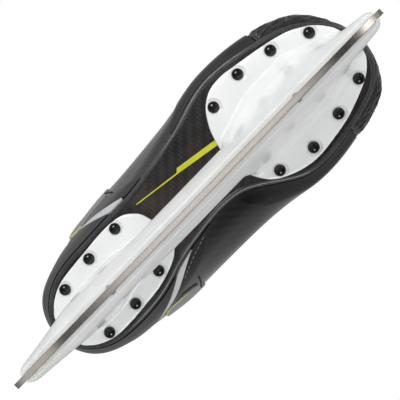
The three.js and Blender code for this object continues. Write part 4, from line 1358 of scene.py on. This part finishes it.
def build_eyelets():
    hole, tube, rim = 2.5, 2.85, 3.7
    face = 0.85
    profile = [(hole, -2.8), (tube, -2.8), (tube, face), (rim, face), (rim + 0.05, face + 0.2)]
    profile += [(rim - 0.3, face + 0.6), (rim - 0.75, face + 0.75), (hole + 0.2, face + 0.55)]
    profile += [(hole, face + 0.1), (hole, -2.8)]
    for side, frames in EYELETS.items():
        for k, e in enumerate(frames):
            name = f"{side}_eyelet_{k + 1}"
            eyelet = turned(name, profile, e["centre"], e["normal"], LOOK["hardware"], sides=36)
            eyelet.data.set_sharp_from_angle(angle=math.radians(40))
            place(eyelet, "boot", [name], "hardware")


# The tongue's middle line, (x, z, half width), from under the toe cap to its free top.
TONGUE = np.array(
    [
        [80, 116, 17], [58, 125, 22], [30, 140, 26], [11, 155, 28], [-8, 173, 29], [-24, 193, 27.5],
        [-37, 216, 25], [-43.5, 238, 24], [-41, 256, 27], [-33, 272, 25],
    ],
    float,
)
TONGUE_CURL = 38.0
TONGUE_THICKNESS = 6.5
TONGUE_FOLD = 7
BITE_GUARD = (0.42, 0.70, 0.5, 1.4)


def tongue_point(t, across, depth):
    """A point of the tongue: t along it, across in mm from its middle, depth in mm below its face."""
    t, across, depth = (np.asarray(a, float) for a in (t, across, depth))
    middle = through(TONGUE[:, :2], t)
    after, before = np.minimum(t + 1e-3, 1), np.maximum(t - 1e-3, 0)
    tangent = through(TONGUE[:, :2], after) - through(TONGUE[:, :2], before)
    tangent /= np.linalg.norm(tangent, axis=-1, keepdims=True)
    angle = across / TONGUE_CURL
    lift = (TONGUE_CURL - depth) * np.cos(angle) - TONGUE_CURL
    x = middle[..., 0] + tangent[..., 1] * lift
    z = middle[..., 1] - tangent[..., 0] * lift
    y = BOOT_MIDDLE_Y + (TONGUE_CURL - depth) * np.sin(angle)
    return np.stack(np.broadcast_arrays(x, y, z), -1)


def tongue_half_width(t):
    return np.interp(t, np.linspace(0, 1, len(TONGUE)), TONGUE[:, 2])


def by_eyelet(e, inward, height, up=0.0):
    return e["centre"] + e["inward"] * inward + e["normal"] * height + e["along"] * up


def over_tongue(a, b, height):
    """The point over the tongue's middle nearest to a pair of places beside it."""
    ts = np.linspace(0, 1, 301)
    middle = (a + b) / 2
    line = through(TONGUE[:, :2], ts)
    t = ts[np.argmin(np.hypot(line[:, 0] - middle[0], line[:, 1] - middle[2]))]
    low, high, _, thickness = BITE_GUARD
    guard = thickness if low - 0.03 < t < high + 0.03 else 0.0
    return tongue_point(t, 0.0, -height - guard)


LACE_CLEAR = 1.8


def lace_route():
    """The lace's middle line, with the flat side's normal and its width, point by point."""
    ladder = {side: frames[::-1] for side, frames in EYELETS.items()}
    wide, folded = 2.1, 1.15

    def strand(first):
        points = []
        side = first
        for e in range(EYELETS_PER_SIDE - 1):
            other = "inner" if side == "outer" else "outer"
            here, follows = ladder[side][e], ladder[other][e + 1]
            over = 2.7 if first == "outer" else 0.0
            n_here, n_next = here["normal"], follows["normal"]
            points += [
                (by_eyelet(here, 0, 0), here["inward"], folded),
                (by_eyelet(here, 0.35, 2.2), here["inward"], folded),
                (by_eyelet(here, 2.6, 3.7), n_here, folded),
                (by_eyelet(here, here["edge"] + 1.2, 3.2), n_here, wide),
                (over_tongue(here["centre"], follows["centre"], LACE_CLEAR + over), n_here + n_next, wide),
                (by_eyelet(follows, follows["edge"] + 1, -4.7), n_next, wide),
                (by_eyelet(follows, 2.4, -4.9), n_next, folded),
                (by_eyelet(follows, 0.2, -3.2), -follows["inward"], folded),
            ]
            side = other
        last = ladder[side][-1]
        points += [
            (by_eyelet(last, 0, 0), last["inward"], folded),
            (by_eyelet(last, 0.35, 2.2), last["inward"], folded),
            (by_eyelet(last, 2.6, 3.7, 0.5), last["normal"], folded),
            (by_eyelet(last, last["edge"], 3.2, 2), last["normal"], wide),
            (by_eyelet(last, last["edge"] + 2.6, -0.8, 3.6), last["inward"], folded),
            (by_eyelet(last, last["edge"] - 2.5, -5, 5), -last["normal"], folded),
        ]
        return points

    def bar(e):
        return [
            (by_eyelet(e, 0.2, -3.2), -e["inward"], folded),
            (by_eyelet(e, 2.4, -4.9), e["normal"], folded),
            (by_eyelet(e, e["edge"] + 2, -4.8), e["normal"], wide),
        ]

    left, right = ladder["outer"][0], ladder["inner"][0]
    middle = over_tongue(left["centre"], right["centre"], LACE_CLEAR)
    route = strand("outer")[::-1] + bar(left)
    route.append((middle, left["normal"] + right["normal"], wide))
    return route + bar(right)[::-1] + strand("inner")


def centripetal(points, values, spacing):
    """A centripetal Catmull-Rom curve through points, sampled evenly, with values carried along it."""
    knots = np.r_[0, np.cumsum(np.sqrt(np.linalg.norm(np.diff(points, axis=0), axis=1)))]
    ends = [2 * points[0] - points[1], *points, 2 * points[-1] - points[-2]]
    times = np.r_[-knots[1], knots, 2 * knots[-1] - knots[-2]]
    curve, carried = [], []
    for i in range(1, len(ends) - 2):
        p, k = ends[i - 1 : i + 3], times[i - 1 : i + 3]
        for t in np.linspace(k[1], k[2], 24, endpoint=False):
            a = [(p[j] * (k[j + 1] - t) + p[j + 1] * (t - k[j])) / (k[j + 1] - k[j]) for j in range(3)]
            b = [(a[j] * (k[j + 2] - t) + a[j + 1] * (t - k[j])) / (k[j + 2] - k[j]) for j in range(2)]
            curve.append((b[0] * (k[2] - t) + b[1] * (t - k[1])) / (k[2] - k[1]))
            share = (t - k[1]) / (k[2] - k[1])
            carried.append(values[i - 1] * (1 - share) + values[i] * share)
    both = np.column_stack([np.array(curve), np.array(carried)])
    lengths = np.r_[0, np.cumsum(np.linalg.norm(np.diff(both[:, :3], axis=0), axis=1))]
    wanted = np.linspace(0, lengths[-1], int(lengths[-1] / spacing))
    both = np.stack([np.interp(wanted, lengths, both[:, k]) for k in range(both.shape[1])], 1)
    return both[:, :3], both[:, 3:], wanted


def build_lace():
    """One flat braided lace through all the eyelets, its ends tucked in behind the facings."""
    route = lace_route()
    points = np.array([p for p, _, _ in route])
    values = np.array([[*(n / np.linalg.norm(n)), w] for _, n, w in route])
    line, carried, lengths = centripetal(points, values, 0.8)
    tangent = np.gradient(line, axis=0)
    tangent /= np.linalg.norm(tangent, axis=1, keepdims=True)
    up = carried[:, :3]
    side = np.cross(tangent, up)
    for k in range(1, len(side)):
        if side[k] @ side[k - 1] < 0:
            side[k] = -side[k]
    kernel = np.hanning(9) / np.hanning(9).sum()
    side = np.stack([np.convolve(side[:, k], kernel, "same") for k in range(3)], 1)
    side -= tangent * np.sum(side * tangent, 1, keepdims=True)
    side /= np.linalg.norm(side, axis=1, keepdims=True)
    up = np.cross(side, tangent)
    half = carried[:, 3]
    thick = np.where(half > 1.6, 0.75, 0.75 + 0.35 * (1.6 - half) / 0.45)
    angles = np.linspace(0, 2 * math.pi, 16, endpoint=False)
    flat = np.sign(np.cos(angles)) * np.abs(np.cos(angles)) ** 0.8
    rings = line[:, None] + side[:, None] * (half[:, None] * flat)[..., None]
    rings += up[:, None] * (thick[:, None] * np.sin(angles))[..., None]
    around = half[:, None] * np.cos(angles)
    cloth = np.stack([np.repeat(lengths[:, None], len(angles), 1), around], -1).reshape(-1, 2)
    faces = tube_faces(len(line), len(angles), flip=False)
    lace = mesh_object("lace", rings.reshape(-1, 3), faces, LOOK["lace"], cloth=cloth)
    place(lace, "boot", ["lace"], "lace")


# ---------- tongue ----------


def tongue_sheet(name, material, from_t, to_t, steps, width, face, back, columns=24, edge=1.2):
    """A strip of the tongue. width is a share of its half width, or a function of t; face and back are
    depths, or functions of (t, across share)."""
    ts = np.linspace(from_t, to_t, steps + 1)
    share = np.linspace(1, -1, columns + 1)
    t, s = np.meshgrid(ts, share, indexing="ij")
    half = tongue_half_width(t) * (width(t) if callable(width) else width)
    across = half * s
    points = []
    for depth in (face, back):
        points.append(tongue_point(t, across, depth(t, s) if callable(depth) else depth).reshape(-1, 3))
    middle = through(TONGUE[:, :2], ts)
    lengths = np.r_[0, np.cumsum(np.linalg.norm(np.diff(middle, axis=0), axis=1))]
    cloth = np.stack([np.repeat(lengths[:, None], columns + 1, 1), across], -1).reshape(-1, 2)
    cloth = np.concatenate([cloth, cloth])
    faces = shell_faces(steps + 1, columns + 1)
    made = mesh_object(name, np.concatenate(points), faces, material, cloth=cloth)
    return bevel(made, edge, 4) if edge else made


def tongue_fold():
    """The ends of the stretch round the tongue's fold, where its middle line turns, as points in the row
    frame.
    """
    fold = TONGUE_FOLD / (len(TONGUE) - 1)
    start = to_world(tongue_point(fold - 0.045, 0.0, 3.0))
    end = to_world(tongue_point(fold + 0.05, 0.0, 3.0))
    return tuple(start), tuple(end)


def quilt(t, s):
    """How far the face sinks along the tongue's sewn lines."""
    lines = np.exp(-(((np.abs(s) - 0.62) / 0.035) ** 2))
    rows = np.exp(-(((np.mod(t * 9.0, 1.0) - 0.5) / 0.05) ** 2)) * (np.abs(s) < 0.6)
    rim = np.exp(-(((np.abs(s) - 1.0) / 0.09) ** 2))
    return 0.9 * lines + 0.7 * rows * (t < 0.72) + 2.2 * rim


def tongue_held(tongue):
    """The lace holds the tongue's face up to the fold. Its sewn lines and rim are held all along."""
    t, s = np.meshgrid(np.linspace(0, 1, 150), np.linspace(-1, 1, 61), indexing="ij")
    across = tongue_half_width(t) * s
    sheets = [tongue_point(t, across, depth) for depth in (0.0, TONGUE_THICKNESS)]
    laced = 1 - smoothstep(t, 0.68, 0.76)
    sewn = np.clip(quilt(t, s) / 0.7, 0, 1)
    rim = np.maximum(smoothstep(np.abs(s), 0.84, 0.96), smoothstep(np.abs(t - 0.5), 0.45, 0.475))
    held = [np.maximum.reduce([laced, sewn, rim]), np.maximum(sewn, rim)]
    index, _ = nearest(to_world(np.concatenate(sheets).reshape(-1, 3)), coordinates(tongue.data))
    return np.concatenate(held).ravel()[index[:, 0]]


def build_tongue():
    """The felt tongue, one piece from under the toe cap to its free top, its middle line turning at the
    fold.
    """
    def ends(t):
        return 1 - 0.35 * smoothstep(t, 0.965, 1.0) ** 2

    tongue = tongue_sheet(
        "tongue", LOOK["felt"], 0.0, 1.0, 170, ends,
        lambda t, s: quilt(t, s) * 0.5,
        lambda t, s: TONGUE_THICKNESS - 0.5 * quilt(t, s),
        48, 0.9,
    )
    puff(tongue, tongue_held(tongue), 2.4, 2.5, 100.0)
    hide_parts("tongue", "tongue_top")
    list(tongue_fold())
    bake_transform(tongue)
    low, high, width, thickness = BITE_GUARD
    ribs = lambda t, s: -thickness + 0.35 * (np.sin(t * 260) > 0.2) * (np.abs(s) < 0.8)
    guard = tongue_sheet("lace_bite_guard", LOOK["plastic"], low, high, 60, width, ribs, -GAP, 20, 0.4)
    place(guard, "boot", ["lace_bite_guard"], "plastic")


# ---------- tendon guard ----------

GUARD_HEIGHT = 40.0


def build_tendon_guard():
    """The root and the guard are one moulding, with bellows grooves where the real guard bends."""
    us = span(-1.72, 1.72, 0.05)
    height = GUARD_HEIGHT * (1 - (np.abs(us) / 2.35) ** 2.6)
    grids = []
    root = np.linspace(3.3, 3.98, 14)
    for offset in (2.4, -1.2):
        low = off_wall(us[:, None], root[None], max(offset, 0.6))
        t = np.linspace(0, 1, 34)
        up = 0.9 + height[:, None] * t
        start = off_wall(us, TOP, offset)[:, None]
        lean = -0.1 * up - 0.0016 * up * up
        high = start + np.stack([lean, np.zeros_like(up), up], -1)
        grids.append(np.concatenate([low, high], 1))
    outer, inner = grids
    groove = np.zeros(outer.shape[1])
    groove[15:27] = np.where(np.arange(12) % 4 < 2, 0.0, 0.55)
    out = outer - inner
    out /= np.linalg.norm(out, axis=-1, keepdims=True)
    outer = outer - out * groove[None, :, None]
    points = np.concatenate([outer.reshape(-1, 3), inner.reshape(-1, 3)])
    guard = mesh_object("tendon_guard", points, shell_faces(len(us), outer.shape[1]), LOOK["plastic"])
    bevel(guard, 0.8)
    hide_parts("tendon_guard", "tendon_guard_base")
    back = off_wall(0.0, TOP, 2.0)
    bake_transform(guard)


# ---------- liners ----------


def liner_seams(s, v):
    """How near the liner's face is to a seam: the ankle pad, the collar roll and two darts."""
    ankle = np.hypot((s - 2.75) / 0.95, (v - 2.45) / 0.72)
    lines = [np.abs(ankle - 1) / 0.07, np.abs(v - 3.42) / 0.06]
    lines += [np.abs(s - 3.95 - 0.12 * (v - 2)) / 0.05, np.abs(s - 5.3) / 0.05]
    return np.exp(-np.minimum.reduce(lines) ** 2)


def liner_held(liner, us):
    """The liner is glued to the shell and sewn along its seams and rims; the rest of its face is free."""
    u, v = np.meshgrid(us, np.linspace(0.28, 3.98, 75), indexing="ij")
    s = side_of(u)
    face = np.maximum(liner_seams(s, v), smoothstep(v, 3.86, 3.96))
    face = np.maximum(face, 1 - smoothstep(v, 0.35, 0.6))
    sheets = [off_wall(u, v, -SHELL - 0.9), off_wall(u, v, -SHELL - 6.2)]
    held = np.concatenate([np.ones(u.size), face.ravel()])
    index, _ = nearest(to_world(np.concatenate(sheets).reshape(-1, 3)), coordinates(liner.data))
    return held[index[:, 0]]


def build_liners():
    """Padded liner shells: thick round the ankle and collar, thin towards the toe."""

    def build(name, us):
        def inner(u, v):
            s = side_of(u)
            collar = smoothstep(v, 2.0, 3.2) * (1 - smoothstep(s, 3.6, 4.4))
            pad = 5.2 - 2.0 * smoothstep(s, 3.9, 5.0)
            return -SHELL - pad - 1.2 * collar

        high = lambda u: 3.98 if side_of(u) < 3.7 else float(facing_floor(u)) - 0.06
        made = wall_sheet(name, LOOK["liner"], us, 0.28, high, 46, -SHELL - 0.9, inner, 1.2)
        puff(made, liner_held(made, us), 2.4, 3.5, 12.0)
        return place(made, "boot", [name], "liner")

    made = sides("liner", np.r_[span(0.02, 3.6), span(3.75, 6.95)], build)


# ---------- carried-over CAD pieces ----------


def dress_cad_nodes():
    for node, look in (
        ("insole_board", "board"),
        ("front_runner_nut", "hardware"),
        ("rear_runner_nut", "hardware"),
        ("front_runner_washer", "hardware"),
        ("rear_runner_washer", "hardware"),
    ):
        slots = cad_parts[node].material_slots
        for each in slots:
            each.material = LOOK[look]


# ---------- stage, light and camera ----------


def standing(eye, right, back):
    """The matrix of a lamp or camera at a place, looking away from back."""
    axes = Matrix((right, back.cross(right), back)).transposed()
    return Matrix.Translation(eye) @ axes.to_4x4()


def aim(obj, position, target, up=(0, 0, 1)):
    """Points a lamp or camera from a place to a target, both in mm."""
    eye, at = Vector(to_world(position)), Vector(to_world(target))
    back = (eye - at).normalized()
    right = Vector(up).cross(back).normalized()
    obj.matrix_world = standing(eye, right, back)


def softbox(name, position, target, size, power, up=(0, 0, 1), tint=(1, 1, 1)):
    data = bpy.data.lights.new(name, "AREA")
    data.shape = "RECTANGLE"
    data.size, data.size_y = size[0] * MM, size[1] * MM
    data.energy = power
    data.color = tint
    lamp = bpy.data.objects.new(name, data)
    bpy.context.scene.collection.objects.link(lamp)
    aim(lamp, position, target, up)
    return lamp


def build_stage():
    half = 1500
    floor = mesh_object(
        "floor", [(-half, -half, -0.6), (half, -half, -0.6), (half, half, -0.6), (-half, half, -0.6)],
        [(0, 1, 2, 3)], pale_floor(), smooth=False,
    )
    floor.visible_shadow = False
    floor.visible_glossy = False
    floor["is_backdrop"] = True
    ring = np.linspace(0, 2 * math.pi, 48, endpoint=False)
    rise = np.linspace(-math.pi / 2, math.pi / 2, 25)[1:-1]
    radius = 3500
    points = [
        (radius * math.cos(a) * math.cos(e), radius * math.sin(a) * math.cos(e), radius * math.sin(e))
        for e in rise
        for a in ring
    ]
    n = len(ring)
    dome = mesh_object("backdrop", points, tube_faces(len(rise), n, flip=False), white_backdrop())
    dome.visible_diffuse = dome.visible_glossy = dome.visible_transmission = False
    dome.visible_shadow = dome.visible_volume_scatter = False
    dome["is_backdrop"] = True


def build_world():
    """A pale studio round and above the skate, dark straight below it."""
    world = bpy.data.worlds.new("studio")
    world.use_nodes = True
    tree = world.node_tree
    background = tree.nodes["Background"]
    background.inputs[0].default_value = (1, 1, 1, 1)
    height = tree.nodes.new("ShaderNodeSeparateXYZ")
    tree.links.new(tree.nodes.new("ShaderNodeTexCoord").outputs["Generated"], height.inputs[0])
    level = tree.nodes.new("ShaderNodeMapRange")
    level.interpolation_type = "SMOOTHSTEP"
    for socket, value in zip(level.inputs[1:5], (-0.4, 0.0, 0.045, 0.40)):
        socket.default_value = value
    tree.links.new(height.outputs[2], level.inputs[0])
    tree.links.new(level.outputs[0], background.inputs[1])
    bpy.context.scene.world = world


def build_lights():
    build_world()
    softbox("runner_strip", (42, 0, -900), (42, 0, 0), (120, 660), 0.40, up=(1, 0, 0))
    softbox("tail_box", (-720, 0, -600), (-120, 0, 0), (240, 560), 0.30, up=(1, 0, 0))
    softbox("toe_box", (850, 0, -560), (120, 0, 10), (420, 150), 0.55)
    softbox("outer_key", (50, -540, -600), (40, -20, 60), (400, 280), 3.3)
    softbox("inner_key", (-200, 500, -620), (0, 20, 60), (360, 260), 2.55)
    above = softbox("above", (150, -300, 1200), (0, 0, 150), (900, 900), 11.0, up=(1, 0, 0))
    above.visible_glossy = False


def build_camera():
    """Straight below the skate, looking up, with the toe turned to the upper right of the frame."""
    data = bpy.data.cameras.new("camera")
    data.sensor_width = 36
    data.lens = 58.6
    camera = bpy.data.objects.new("camera", data)
    bpy.context.scene.collection.objects.link(camera)
    turn = math.radians(45.85)
    eye = Vector(to_world((0, 0.85, -345)))
    right = Vector((math.cos(turn), math.sin(turn), 0))
    up = Vector((math.sin(turn), -math.cos(turn), 0))
    camera.matrix_world = standing(eye, right, right.cross(up))
    data.clip_start = 0.01
    bpy.context.scene.camera = camera


def main():
    bpy.context.scene.view_settings.view_transform = "Standard"
    build_camera()
    build_lights()
    build_stage()
    build_runner()
    build_holder()
    build_rivets()
    build_outsole()
    build_sole_stripe()
    build_footbed()
    build_toe_cap()
    build_quarters()
    build_counter()
    build_overlays()
    build_facings()
    build_eyelets()
    build_lace()
    build_tongue()
    build_tendon_guard()
    build_liners()
    dress_cad_nodes()


main()
{"cad": CAD_BOX, "visual": [list(corner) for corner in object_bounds()]}
